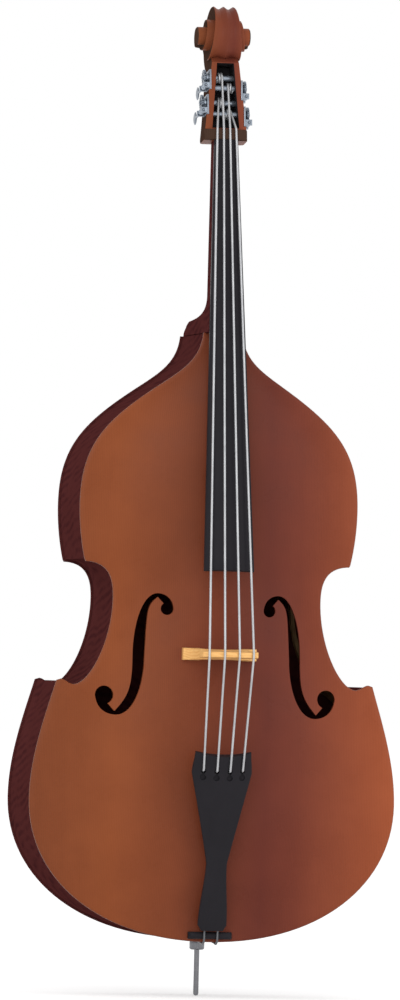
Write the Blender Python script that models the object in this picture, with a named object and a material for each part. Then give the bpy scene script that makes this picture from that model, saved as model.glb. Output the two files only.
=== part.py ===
"""Double bass: body, neck, tuning machines, strings and endpin as separate solids.

Metres, +Z up, front to -Y, +X to the right seen from the front.
The origin is the tip of the endpin, on the floor.
"""

import math

import bmesh
import bpy
from mathutils import Matrix, Vector
from mathutils.bvhtree import BVHTree

# Clearances
GAP = 0.0003            # glue gap between pieces that touch
RUN = 0.0004            # running clearance of a shaft in its hole
END_GAP = 0.0002        # a rib's share of the gap at a mitre

# Endpin, from the floor up
ENDPIN_REACH = 0.083
ENDPIN_RADIUS = 0.0048
ENDPIN_INSIDE = 0.190
ENDPIN_TIP = 0.004
COLLAR_FLANGE = 0.0165
COLLAR_NECK = 0.0055
COLLAR_RADIUS = 0.0136
COLLAR_NECK_RADIUS = 0.0105
COLLAR_BEVEL = 0.003
PLUG_RADIUS = 0.0125
PLUG_LENGTH = 0.036
THUMB_RADIUS = 0.0045
THUMB_SHANK = 0.0018
THUMB_LENGTH = 0.007

# Body outline: half widths and rises above the bottom edge of the plates
BODY_LENGTH = 1.097
LOWER_BOUT_HALF = 0.335
TALL = BODY_LENGTH / 1.097          # rises and widths follow the body's length and width
WIDE = LOWER_BOUT_HALF / 0.335
LOWER_BOUT_RISE = 0.252 * TALL
LOWER_CORNER_HALF = 0.290 * WIDE
LOWER_CORNER_RISE = 0.466 * TALL
WAIST_DIP_HALF = 0.258 * WIDE
WAIST_DIP_RISE = 0.459 * TALL
WAIST_HALF = 0.1905 * WIDE
WAIST_RISE = 0.616 * TALL
UPPER_CORNER_HALF = 0.244 * WIDE
UPPER_CORNER_RISE = 0.6825 * TALL
UPPER_BOUT_HALF = 0.255 * WIDE
UPPER_BOUT_RISE = 0.783 * TALL
SHOULDER_HALF = 0.126 * WIDE
SHOULDER_RISE = 0.993 * TALL
NECK_SEAT_HALF = 0.036
CORNER_WIDTH = 0.008
BUTTON_HALF = 0.030
BUTTON_RISE = 0.030

# Body section
RIB_DEPTH = 0.216
RIB_THICK = 0.0025
OVERHANG = 0.005
PLATE_THICK = 0.007
TOP_ARCH = 0.028
BACK_ARCH = 0.022
RIDGE_LOW = 0.210 * TALL
RIDGE_HIGH = 0.880 * TALL
LINING_GAP = 0.0006
LINING_HEIGHT = 0.018
LINING_THICK = 0.007
CORNER_BLOCK_LEG = 0.050
CORNER_BLOCK_EDGE = 0.008
NECK_BLOCK_HEIGHT = 0.070
END_BLOCK_HEIGHT = 0.032
END_BLOCK_HALF = 0.075
TENON_HALF = 0.018
TENON_DEPTH = 0.026
TENON_INSET = 0.024
BAR_X = -0.050
BAR_LOW = 0.200 * TALL
BAR_LENGTH = 0.620 * TALL
BAR_WIDTH = 0.018
BAR_HEIGHT = 0.028
BAR_END_HEIGHT = 0.007
POST_RADIUS = 0.009
POST_X = 0.052
POST_BELOW_BRIDGE = 0.034

# Sound holes, from the centre line and the plates' bottom edge
HOLE_UPPER_EYE = (0.0939 * WIDE, 0.5984 * TALL)
HOLE_UPPER_RADIUS = 0.0114
HOLE_LOWER_EYE = (0.2036 * WIDE, 0.4411 * TALL)
HOLE_LOWER_RADIUS = 0.0166
HOLE_STEM = (0.1432 * WIDE, 0.512 * TALL)
HOLE_STEM_HALF = 0.0106
HOLE_TOP = (0.1107 * WIDE, 0.6259 * TALL)
HOLE_BOTTOM = (0.1825 * WIDE, 0.4058 * TALL)
HOLE_WING = 0.0068

# Neck, measured along the fingerboard's glue plane
NECK_TILT = math.radians(8.8)
OVERSTAND = 0.030
NECK_LENGTH = 0.3526
NECK_THICK = 0.040
NECK_THICK_LOW = 0.048
NECK_SQUARE = 0.5
HEEL_HALF = 0.0335
HEEL_HEIGHT = 0.026
HEEL_FILLET = 0.045
BOARD_BELOW = 0.436
BOARD_TOP_WIDTH = 0.043
BOARD_END_WIDTH = 0.091
BOARD_SIDE = 0.009
BOARD_RADIUS = 0.090
NUT_LENGTH = 0.0195
NUT_HALF = 0.0395
NUT_RISE = 0.0008

# Head: pegbox and scroll, above the upper edge of the nut
PEGBOX_LENGTH = 0.128
PEGBOX_LOW_HALF = 0.040
PEGBOX_HIGH_HALF = 0.0245
PEGBOX_FRONT = 0.004
PEGBOX_LOW_BACK = 0.046
PEGBOX_HIGH_BACK = 0.067
THROAT_RISE = 0.022
THROAT_DROP = 0.024
PEGBOX_SOFT = 0.006
SLOT_LENGTH = 0.122
SLOT_LOW_HALF = 0.025
SLOT_HIGH_HALF = 0.0155
SLOT_FLOOR = 0.040
SCROLL_RISE = 0.1745
SCROLL_BACK = 0.020
SCROLL_RADIUS = 0.0705
SCROLL_TURN_RATIO = 0.57
SCROLL_NARROW_HALF = 0.0195
SCROLL_SECOND_HALF = 0.0315
SCROLL_EYE_HALF = 0.049
SCROLL_HOLLOW = 0.004
SCROLL_FLUTE = 0.005

# Tuning machines
ROLLER_RADIUS = 0.0055
ROLLER_BACK = 0.014
ROLLER_RISES = {"g": 0.0314, "e": 0.0519, "d": 0.0794, "a": 0.0982}
ROLLER_SIDES = {"g": 1, "e": -1, "d": 1, "a": -1}
ROLLER_SEAT = 0.007
JOURNAL_RADIUS = 0.0036
BASE_THICK = 0.003
BASE_UP = 0.012
BASE_DOWN = 0.0245
BASE_HALF_DEPTH = 0.020
BOSS_RADIUS = 0.008
BOSS_LENGTH = 0.0045
GEAR_TEETH = 20
GEAR_MODULE = 0.0013
GEAR_THICK = 0.0038
SCREW_HEAD_RADIUS = 0.0042
SCREW_HEAD = 0.0028
SCREW_RADIUS = 0.0015
SCREW_LENGTH = 0.007
WORM_RADIUS = 0.0052
WORM_DEPTH = 0.0029
WORM_TURNS = 3
WORM_SHAFT = 0.0022
LUG_THICK = 0.004
LUG_CLEAR = 0.0012
KEY_STEM = 0.030
KEY_LENGTH = 0.022
KEY_HALF = 0.012
KEY_THICK = 0.0036

# Strings, tailpiece and bridge
STRING_RADIUS = 0.0021
STRING_ORDER = ("e", "a", "d", "g")
NUT_SPACING = 0.0114
BRIDGE_SPACING = 0.0268
TAIL_SPACING = 0.0238
ACTION = 0.007
WIND_STARTS = {"e": -0.011, "a": -0.0045, "d": 0.0065, "g": 0.011}
WIND_WAYS = {"e": 1, "a": -1, "d": 1, "g": -1}
WIND_PITCH = 0.0048
WIND_TURNS = 1.3
WRAP_TURNS = 0.5
WIND_BREAK = 0.075
BRIDGE_RISE = 0.518 * TALL
BRIDGE_RADIUS = 0.110
BRIDGE_FOOT_HALF = 0.067
BRIDGE_FOOT_WIDTH = 0.031
BRIDGE_TOP_HALF = 0.050
BRIDGE_WAIST_HALF = 0.043
BRIDGE_FOOT_THICK = 0.022
BRIDGE_TOP_THICK = 0.009
SADDLE_HALF = 0.040
SADDLE_LOW = 0.006
SADDLE_HIGH = 0.0185
SADDLE_PROUD = 0.011
TAILPIECE_LENGTH = 0.330
TAILPIECE_ABOVE_SADDLE = 0.008
TAILPIECE_HEAD_HALF = 0.0545
TAILPIECE_WAIST_HALF = 0.0185
TAILPIECE_WAIST_SHARE = 0.38
TAILPIECE_HEAD_SHARE = 0.88
TAILPIECE_END_HALF = 0.026
TAILPIECE_CROWN_RADIUS = 0.110
TAILPIECE_THICK = 0.018
TAILPIECE_EDGE = 0.006
KEYHOLE_BELOW_TOP = 0.034
KEYHOLE_RADIUS = 0.0045
WIRE_RADIUS = 0.002
WIRE_HALF = 0.012
WIRE_SEAT = 0.016

# Facets of round shapes
CURVE_STEPS = 6
ROUND = 14
WORM_ROUND = 10
RIB_POINTS = (18, 16, 16)

BODY_LOW = ENDPIN_REACH + COLLAR_FLANGE + COLLAR_NECK - OVERHANG
BODY_TOP = BODY_LOW + BODY_LENGTH
PLATE_PLANE = RIB_DEPTH / 2 + GAP
NECK_ORIGIN = Vector((0, -(PLATE_PLANE + PLATE_THICK + OVERSTAND), BODY_TOP))
NECK_TURN = Matrix.Rotation(-NECK_TILT, 3, "X")
HEAD_LOW = NECK_LENGTH + GAP
NUT_TOP = HEAD_LOW + NUT_LENGTH
SLOT_LOW = NUT_TOP + 2 * GAP
GEAR_RADIUS = GEAR_MODULE * (GEAR_TEETH + 2) / 2
WORM_PITCH = math.pi * GEAR_MODULE
WORM_OFFSET = GEAR_MODULE * GEAR_TEETH / 2 + WORM_RADIUS - GEAR_MODULE
GEAR_INNER = BASE_THICK + BOSS_LENGTH + GAP
GEAR_OUTER = GEAR_INNER + GEAR_THICK

FINISHES = {
    "spruce_varnish": ((0.24, 0.08, 0.035), 0.3, 0.0),
    "rib_varnish": ((0.07, 0.019, 0.019), 0.3, 0.0),
    "head_varnish": ((0.20, 0.07, 0.03), 0.35, 0.0),
    "chin_wood": ((0.067, 0.037, 0.026), 0.45, 0.0),
    "bare_spruce": ((0.62, 0.44, 0.26), 0.7, 0.0),
    "ebony": ((0.026, 0.024, 0.027), 0.4, 0.0),
    "bridge_maple": ((0.93, 0.53, 0.19), 0.5, 0.0),
    "string_wire": ((0.45, 0.45, 0.46), 0.35, 1.0),
    "tuner_steel": ((0.35, 0.38, 0.42), 0.3, 1.0),
    "endpin_steel": ((0.30, 0.31, 0.33), 0.3, 1.0),
    "tail_cable": ((0.30, 0.31, 0.32), 0.4, 1.0),
}


def clear_scene():
    for old in list(bpy.data.objects):
        bpy.data.objects.remove(old, do_unlink=True)


def finish(name):
    """The finish of this name as a material, made on first use."""
    known = bpy.data.materials.get(name)
    if known:
        return known
    colour, roughness, metallic = FINISHES[name]
    material = bpy.data.materials.new(name)
    material.use_nodes = True
    shader = material.node_tree.nodes["Principled BSDF"]
    shader.inputs["Base Color"].default_value = (*colour, 1.0)
    shader.inputs["Roughness"].default_value = roughness
    shader.inputs["Metallic"].default_value = metallic
    return material


def placed(name, data, finish_name, parent=None):
    """A named object with its finish, under its parent."""
    piece = bpy.data.objects.new(name, data)
    data.materials.append(finish(finish_name))
    piece.parent = parent
    bpy.context.collection.objects.link(piece)
    return piece


def frame_empty(name, place, turn=None, parent=None):
    """An empty that carries the pieces of one frame or one joint axis."""
    empty = bpy.data.objects.new(name, None)
    empty.location = place
    if turn:
        empty.rotation_euler = turn
    empty.parent = parent
    empty.empty_display_size = 0.02
    bpy.context.collection.objects.link(empty)
    return empty


def face_out(shape):
    """Turns the faces of each closed body of a bmesh outward."""
    bmesh.ops.recalc_face_normals(shape, faces=shape.faces)
    left = set(shape.faces)
    while left:
        body, edge = set(), [left.pop()]
        while edge:
            face = edge.pop()
            body.add(face)
            near = {other for link in face.edges for other in link.link_faces} & left
            left -= near
            edge += near
        volume = sum(f.calc_center_median().dot(f.normal) * f.calc_area() for f in body)
        if volume < 0:
            bmesh.ops.reverse_faces(shape, faces=list(body))


def solid(name, shape, finish_name, parent=None):
    """Turns a filled bmesh into a smooth-shaded object with its faces out."""
    bmesh.ops.remove_doubles(shape, verts=shape.verts, dist=1e-6)
    face_out(shape)
    mesh = bpy.data.meshes.new(name)
    shape.to_mesh(mesh)
    shape.free()
    mesh.shade_smooth()
    mesh.set_sharp_from_angle(angle=math.radians(32))
    return placed(name, mesh, finish_name, parent)


def loft(rings, shape=None, closed=False):
    """Skins rings of points in order, with end caps unless the run is closed."""
    shape = shape or bmesh.new()
    rows = [[shape.verts.new(point) for point in ring] for ring in rings]
    pairs = list(zip(rows, rows[1:]))
    if closed:
        pairs.append((rows[-1], rows[0]))
    for low, high in pairs:
        for i in range(len(low)):
            j = (i + 1) % len(low)
            shape.faces.new((low[i], low[j], high[j], high[i]))
    if not closed:
        shape.faces.new(list(reversed(rows[0])))
        shape.faces.new(rows[-1])
    return shape


def slab(loops, low, high, to_point, shape=None):
    """Extrudes a region with holes, given as loops of pairs, from low to high."""
    shape = shape or bmesh.new()
    edges = []
    for loop in loops:
        verts = [shape.verts.new(to_point(u, v, low)) for u, v in loop]
        edges += [shape.edges.new((a, b)) for a, b in zip(verts, verts[1:] + verts[:1])]
    filled = bmesh.ops.triangle_fill(shape, edges=edges, use_beauty=True)
    faces = [item for item in filled["geom"] if isinstance(item, bmesh.types.BMFace)]
    grown = bmesh.ops.extrude_face_region(shape, geom=faces, use_keep_orig=True)
    moved = [item for item in grown["geom"] if isinstance(item, bmesh.types.BMVert)]
    shift = Vector(to_point(0, 0, high)) - Vector(to_point(0, 0, low))
    bmesh.ops.translate(shape, verts=moved, vec=shift)
    return shape


def on_xz(x, z, y):
    return Vector((x, y, z))


def on_yz(y, z, x):
    return Vector((x, y, z))


def circle(radius, count, centre=(0.0, 0.0), turn=0.0):
    steps = [turn + math.tau * i / count for i in range(count)]
    return [(centre[0] + radius * math.cos(a), centre[1] + radius * math.sin(a)) for a in steps]


def turned(profile, axis, count=ROUND):
    """Rings of a turned shape: (position along the axis, radius) pairs."""
    rings = []
    for along, radius in profile:
        ring = circle(radius, count)
        if axis == "X":
            rings.append([Vector((along, u, v)) for u, v in ring])
        elif axis == "Y":
            rings.append([Vector((u, along, v)) for u, v in ring])
        else:
            rings.append([Vector((u, v, along)) for u, v in ring])
    return rings


def block(low, high, shape=None):
    """A box between two corners."""
    (x0, y0, z0), (x1, y1, z1) = low, high
    ring = [(x0, y0), (x1, y0), (x1, y1), (x0, y1)]
    return loft([[Vector((x, y, z)) for x, y in ring] for z in (z0, z1)], shape)


def tube(name, points, radius, sides, finish_name, parent=None):
    """A round cord along the points, with filled ends."""
    curve = bpy.data.curves.new(name, "CURVE")
    curve.dimensions = "3D"
    curve.bevel_depth = radius
    curve.bevel_resolution = sides
    curve.use_fill_caps = True
    spline = curve.splines.new("POLY")
    spline.points.add(len(points) - 1)
    for spot, point in zip(spline.points, points):
        spot.co = (*point, 1.0)
        spot.radius = 1.0
    return placed(name, curve, finish_name, parent)


def helper(shape, name, parent=None):
    """A cutter or a lump to join: hidden from renders and drawn as wire."""
    tool = solid(name, shape, "ebony", parent)
    tool.hide_render = True
    tool.display_type = "WIRE"
    return tool


def combine(piece, tool, operation="DIFFERENCE"):
    step = piece.modifiers.new(tool.name, "BOOLEAN")
    step.operation = operation
    step.object = tool
    step.solver = "EXACT"
    step.use_self = True


def bezier(start, handle_1, handle_2, end, steps=CURVE_STEPS):
    """Points of one cubic curve, with both ends."""
    points = []
    for i in range(steps + 1):
        t = i / steps
        weights = ((1 - t) ** 3, 3 * t * (1 - t) ** 2, 3 * t * t * (1 - t), t**3)
        spots = (start, handle_1, handle_2, end)
        points.append(tuple(sum(w * p[k] for w, p in zip(weights, spots)) for k in (0, 1)))
    return points


def chain(*runs):
    """Joins runs of points that share their end points."""
    points = list(runs[0])
    for run in runs[1:]:
        points += run[1:]
    return points


def lower_runs():
    widest = (LOWER_BOUT_HALF, LOWER_BOUT_RISE)
    corner = (LOWER_CORNER_HALF, LOWER_CORNER_RISE)
    floor = bezier((0, 0), (0.205 * WIDE, 0), (LOWER_BOUT_HALF, LOWER_BOUT_RISE - 0.142 * TALL), widest, 9)
    side = bezier(widest, (LOWER_BOUT_HALF, LOWER_BOUT_RISE + 0.075 * TALL),
                  (LOWER_CORNER_HALF + 0.021, LOWER_CORNER_RISE - 0.070 * TALL), corner)
    return [floor, side]


def waist_runs():
    start = (LOWER_CORNER_HALF - CORNER_WIDTH, LOWER_CORNER_RISE + 0.0025)
    dip = (WAIST_DIP_HALF, WAIST_DIP_RISE)
    narrow = (WAIST_HALF, WAIST_RISE)
    corner = (UPPER_CORNER_HALF - CORNER_WIDTH / 4, UPPER_CORNER_RISE - CORNER_WIDTH / 4)
    hook = bezier(start, (start[0] - 0.008, start[1] - 0.0005), (dip[0] + 0.010, dip[1]), dip, 4)
    rise = bezier(dip, (dip[0] - 0.030, dip[1] + 0.003), (WAIST_HALF, WAIST_RISE - 0.076 * TALL), narrow)
    top = bezier(narrow, (WAIST_HALF, WAIST_RISE + 0.036 * TALL),
                 (WAIST_HALF + 0.0095, corner[1] - 0.001), corner)
    return [hook, rise, top]


def upper_runs():
    corner = (UPPER_CORNER_HALF, UPPER_CORNER_RISE + CORNER_WIDTH / 4)
    widest = (UPPER_BOUT_HALF, UPPER_BOUT_RISE)
    shoulder = (SHOULDER_HALF, SHOULDER_RISE)
    seat = (NECK_SEAT_HALF, BODY_LENGTH)
    side = bezier(corner, (corner[0] + 0.007 * WIDE, corner[1] + 0.030 * TALL),
                  (UPPER_BOUT_HALF, UPPER_BOUT_RISE - 0.033 * TALL), widest, 5)
    round_over = bezier(widest, (UPPER_BOUT_HALF, UPPER_BOUT_RISE + 0.102 * TALL),
                        (SHOULDER_HALF + 0.0905 * WIDE, SHOULDER_RISE - 0.0625 * TALL), shoulder)
    sweep = bezier(shoulder, (SHOULDER_HALF - 0.0494 * WIDE, SHOULDER_RISE + 0.034 * TALL),
                   (NECK_SEAT_HALF + 0.005, BODY_LENGTH - 0.052 * TALL), seat)
    return [side, round_over, sweep]


def offset(points, inset):
    """The run moved to its left, which is into the body."""
    moved = []
    for i, point in enumerate(points):
        a = Vector(points[max(i - 1, 0)])
        b = Vector(points[min(i + 1, len(points) - 1)])
        along = (b - a).normalized()
        moved.append(Vector(point) + inset * Vector((-along.y, along.x)))
    return moved


def stretched(points, reach):
    """The run with both ends carried on straight."""
    head = points[0] + (points[0] - points[1]).normalized() * reach
    tail = points[-1] + (points[-1] - points[-2]).normalized() * reach
    return [head] + points + [tail]


def trimmed(first, second):
    """Cuts two runs where they cross: the first ends there and the second starts there."""
    for i in range(len(first) - 1, 0, -1):
        p, r = first[i - 1], first[i] - first[i - 1]
        for j in range(len(second) - 1):
            q, s = second[j], second[j + 1] - second[j]
            across = r.cross(s)
            if abs(across) < 1e-12:
                continue
            t = (q - p).cross(s) / across
            u = (q - p).cross(r) / across
            if 0 <= t <= 1 and 0 <= u <= 1:
                meet = p + r * t
                return first[:i] + [meet], [meet] + second[j + 1:]
    return first, second


def outline_runs():
    return [chain(*runs) for runs in (lower_runs(), waist_runs(), upper_runs())]


def lane(runs, inset, top_inset):
    """The three runs of the right half, inset into the body and mitred, with the flat top."""
    reach = LOWER_CORNER_HALF / 8
    low, mid, high = [stretched(offset(run, inset), reach) for run in runs]
    low = low[1:]
    low[0].x = 0.0
    flat = [Vector((SHOULDER_HALF, BODY_LENGTH - top_inset)), Vector((0, BODY_LENGTH - top_inset))]
    low, mid = trimmed(low, mid)
    mid, high = trimmed(mid, high)
    high, flat = trimmed(high, flat)
    return low, mid, high, flat


def first_part(points, length):
    """The start of a run, cut at a length along it."""
    part = [points[0]]
    for a, b in zip(points, points[1:]):
        step = (b - a).length
        if step >= length:
            return part + [a.lerp(b, length / step)]
        part.append(b)
        length -= step
    return part


def rib_lines(inset, ease=0.0):
    """One face of the ribs of the right half, as evenly spaced runs."""
    runs = lane(outline_runs(), inset, 0.0)
    return [resampled(run, count, ease) for run, count in zip(runs, RIB_POINTS)]


def resampled(points, count, ease=0.0):
    """Evenly spaced points on a run, held back from its ends by the ease."""
    lengths = [0.0]
    for a, b in zip(points, points[1:]):
        lengths.append(lengths[-1] + (Vector(b) - Vector(a)).length)
    wanted = [ease + (lengths[-1] - 2 * ease) * i / (count - 1) for i in range(count)]
    found = []
    k = 0
    for length in wanted:
        while k < len(points) - 2 and lengths[k + 1] < length:
            k += 1
        share = (length - lengths[k]) / (lengths[k + 1] - lengths[k])
        found.append(Vector(points[k]).lerp(Vector(points[k + 1]), share))
    return found


def strip_rings(outer, inner, low, high, side):
    """Rings of a bent strip that stands between two depths."""
    rings = []
    for a, b in zip(outer, inner):
        corners = ((a, low), (b, low), (b, high), (a, high))
        rings.append([Vector((side * p.x, y, BODY_LOW + p.y)) for p, y in corners])
    return rings


def plate_half(button):
    """Half outline of a plate with the height on the ridge that each point leans to."""
    if button:
        crown = [(BUTTON_HALF * math.cos(a), BODY_LENGTH + BUTTON_RISE * math.sin(a))
                 for a in [math.pi / 2 * i / 5 for i in range(6)]]
    else:
        crown = [(0.0, BODY_LENGTH)]
    runs = lower_runs() + waist_runs() + upper_runs() + [crown]
    leans = ((0.0, 0.03), (0.03, 0.07), (0.08, 0.13), (0.13, 0.58), (0.58, 0.82), (0.83, 0.88),
             (0.88, 0.95), (0.95, 1.0), (1.0, 1.0))
    found = []
    for points, (first, last) in zip(runs, leans):
        for i, point in enumerate(points):
            if found and (Vector(point) - Vector(found[-1][:2])).length < 1e-6:
                continue
            share = first + (last - first) * i / max(len(points) - 1, 1)
            found.append((point[0], point[1], RIDGE_LOW + (RIDGE_HIGH - RIDGE_LOW) * share))
    return found


def plate_shape(arch, front, button=False):
    """An arched plate: rings run from the outline to a ridge along the centre line."""
    half = plate_half(button)
    left = [(-x, z, ridge) for x, z, ridge in reversed(half[1:-1])]
    outline = half + left
    outer_shares = (0.0, 0.08, 0.26, 0.58, 1.0)
    inner_shares = (0.0, 0.20, 0.55, 1.0)
    shape = bmesh.new()
    layers = []
    for depth, shares in ((PLATE_PLANE + PLATE_THICK, outer_shares), (PLATE_PLANE, inner_shares)):
        rows = []
        for share in shares:
            rise = arch * math.sin(math.pi / 2 * share) ** 2
            row = []
            for x, z, ridge in outline:
                height = BODY_LOW + z + (ridge - z) * share
                row.append(shape.verts.new((x * (1 - share), front * (depth + rise), height)))
            rows.append(row)
        layers.append(rows)
    count = len(outline)
    for rows in layers:
        for low, high in zip(rows, rows[1:]):
            for i in range(count):
                j = (i + 1) % count
                shape.faces.new((low[i], low[j], high[j], high[i]))
    for i in range(count):
        j = (i + 1) % count
        shape.faces.new((layers[0][0][i], layers[0][0][j], layers[1][0][j], layers[1][0][i]))
    bmesh.ops.remove_doubles(shape, verts=shape.verts, dist=1e-6)
    return shape


def sound_hole(side):
    """Outline of one f-hole: two eyes, two wings and a swelling stem."""
    upper, lower = Vector(HOLE_UPPER_EYE), Vector(HOLE_LOWER_EYE)
    top, foot, stem = Vector(HOLE_TOP), Vector(HOLE_BOTTOM), Vector(HOLE_STEM)
    right = (stem.x + HOLE_STEM_HALF, stem.y)
    left = (stem.x - HOLE_STEM_HALF, stem.y)
    wing_low = (foot.x + 0.0024, foot.y + HOLE_WING)
    wing_high = (top.x, top.y - HOLE_WING)
    points = [upper + HOLE_UPPER_RADIUS * Vector((math.cos(a), math.sin(a)))
              for a in [math.radians(55 - 253 * i / 7) for i in range(8)]]
    start = tuple(points[-1])
    points += bezier(start, (start[0] + 0.002, start[1] + 0.015), (top.x - 0.0137, top.y), tuple(top), 4)[1:]
    points += bezier(tuple(top), (top.x + 0.0263, top.y), (right[0], stem.y + 0.060), right, 5)[1:]
    points += bezier(right, (right[0], stem.y - 0.057), (right[0] + 0.0062, wing_low[1] + 0.0272), wing_low, 5)[1:]
    points += [lower + HOLE_LOWER_RADIUS * Vector((math.cos(a), math.sin(a)))
               for a in [math.radians(246 - 266 * i / 7) for i in range(8)]]
    end = tuple(points[-1])
    points += bezier(end, (end[0] - 0.004, end[1] - 0.020), (foot.x + 0.0175, foot.y), tuple(foot), 5)[1:]
    points += bezier(tuple(foot), (foot.x - 0.0325, foot.y), (left[0], stem.y - 0.052), left, 5)[1:]
    points += bezier(left, (left[0] - 0.0046, stem.y + 0.088), (left[0] - 0.0026, stem.y + 0.090), wing_high, 5)[1:]
    return [(side * p[0], BODY_LOW + p[1]) for p in points]


def make_plates():
    """The arched front with its f-holes and saddle notch, and the back with its button."""
    front = plate_shape(TOP_ARCH, -1)
    front_tree = BVHTree.FromBMesh(front)
    top = solid("top_plate", front, "spruce_varnish")
    deep = PLATE_PLANE + PLATE_THICK + TOP_ARCH
    holes = bmesh.new()
    for side in (-1, 1):
        slab([sound_hole(side)], -2 * deep, -PLATE_PLANE / 2, on_xz, holes)
    combine(top, helper(holes, "sound_hole_cutter"))
    notch = block((-SADDLE_HALF - GAP, -2 * deep, BODY_LOW + SADDLE_LOW - GAP),
                  (SADDLE_HALF + GAP, 0, BODY_LOW + SADDLE_HIGH + GAP))
    combine(top, helper(notch, "saddle_notch_cutter"))
    back = plate_shape(BACK_ARCH, 1, button=True)
    back_tree = BVHTree.FromBMesh(back)
    solid("back_plate", back, "rib_varnish")
    return front_tree, back_tree


def inner_face(tree, x, z, front):
    """Depth of a plate's inner face over a point of the body's mid plane."""
    hit = tree.ray_cast(Vector((x, 0, z)), Vector((0, front, 0)))
    return hit[0].y


def outer_face(tree, x, z, front):
    """Depth of a plate's outer face, seen from outside."""
    hit = tree.ray_cast(Vector((x, 2 * front * RIB_DEPTH, z)), Vector((0, -front, 0)))
    return hit[0].y


def make_ribs():
    """Six ribs, mitred at the corners, with the plug's hole at the bottom."""
    outer = rib_lines(OVERHANG, END_GAP)
    inner = rib_lines(OVERHANG + RIB_THICK, END_GAP)
    hole = helper(loft(turned([(BODY_LOW - PLUG_LENGTH, PLUG_RADIUS + GAP),
                               (BODY_LOW + END_BLOCK_HEIGHT * 2, PLUG_RADIUS + GAP)], "Z")), "plug_cutter")
    half = RIB_DEPTH / 2
    for side, word in ((-1, "left"), (1, "right")):
        for name, outside, inside in zip(("lower", "waist", "upper"), outer, inner):
            rings = strip_rings(outside, inside, -half, half, side)
            rib = solid(f"rib_{name}_{word}", loft(rings), "rib_varnish")
            if name == "lower":
                combine(rib, hole)
    return hole


def lining_rings(first, last, low, high):
    """Rings of a lining all round the inside, between two distances from the ribs."""
    ribs = rib_lines(OVERHANG + RIB_THICK)
    outer, inner = [], []
    for a, b in zip(lane(ribs, first, OVERHANG + first), lane(ribs, last, OVERHANG + last)):
        outer += a[:-1]
        inner += resampled(b, len(a))[:-1]
        ends = a[-1:], b[-1:]
    rings = strip_rings(outer, inner, low, high, 1) + strip_rings(*ends, low, high, 1)
    return rings + list(reversed(strip_rings(outer[1:], inner[1:], low, high, -1)))


def make_linings():
    """Two lining rings and the room that they need in the blocks."""
    edge = RIB_DEPTH / 2
    room = bmesh.new()
    for name, front in (("lining_front", -1), ("lining_back", 1)):
        near, far = sorted((front * edge, front * (edge - LINING_HEIGHT)))
        rings = lining_rings(LINING_GAP, LINING_GAP + LINING_THICK, near, far)
        solid(name, loft(rings, closed=True), "bare_spruce")
        near, far = sorted((front * (edge + LINING_HEIGHT), front * (edge - LINING_HEIGHT - GAP)))
        loft(lining_rings(0.0, LINING_THICK + 2 * LINING_GAP, near, far), room, closed=True)
    return helper(room, "lining_room_cutter")


def corner_rings(legs, side, between):
    """Rings of a corner block from one rib to the other, with a straight inner face."""
    outline = list(reversed(legs[1])) + legs[0][1:]
    inward = ((outline[0] + outline[-1]) / 2 - legs[1][0]).normalized() * CORNER_BLOCK_EDGE
    rings = []
    for i, outer in enumerate(outline):
        inner = (outline[0] + inward).lerp(outline[-1] + inward, i / (len(outline) - 1))
        corners = ((outer, -between), (inner, -between), (inner, between), (outer, between))
        rings.append([on_xz(side * p.x, BODY_LOW + p.y, y) for p, y in corners])
    return rings


def make_blocks(room, plug_hole):
    """Corner blocks, the neck block with its mortise, and the end block."""
    low, mid, high, flat = lane(rib_lines(OVERHANG + RIB_THICK), GAP, GAP)
    half = RIB_DEPTH / 2
    between = half - LINING_HEIGHT - GAP
    corners = {"lower": (list(reversed(low)), mid), "upper": (list(reversed(mid)), high)}
    for name, runs in corners.items():
        legs = [first_part(run, CORNER_BLOCK_LEG) for run in runs]
        for side, word in ((-1, "left"), (1, "right")):
            solid(f"corner_block_{name}_{word}", loft(corner_rings(legs, side, between)), "bare_spruce")
    right = [(p.x, BODY_LOW + p.y) for p in first_part(list(reversed(high)), NECK_BLOCK_HEIGHT)]
    neck_loop = right + [(-x, z) for x, z in reversed(right)]
    neck_block = solid("neck_block", slab([neck_loop], -half, half, on_xz), "bare_spruce")
    combine(neck_block, room)
    mortise = block((-TENON_HALF - GAP, -half + TENON_INSET - GAP, BODY_TOP - TENON_DEPTH - GAP),
                    (TENON_HALF + GAP, half - TENON_INSET + GAP, BODY_TOP + TENON_DEPTH))
    combine(neck_block, helper(mortise, "mortise_cutter"))
    floor = first_part(low, END_BLOCK_HALF)
    right = [(p.x, BODY_LOW + p.y) for p in floor]
    right.append((floor[-1].x, BODY_LOW + floor[0].y + END_BLOCK_HEIGHT))
    end_loop = right + [(-x, z) for x, z in reversed(right[1:])]
    end_block = solid("end_block", slab([end_loop], -half, half, on_xz), "bare_spruce")
    combine(end_block, room)
    combine(end_block, plug_hole)


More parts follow.
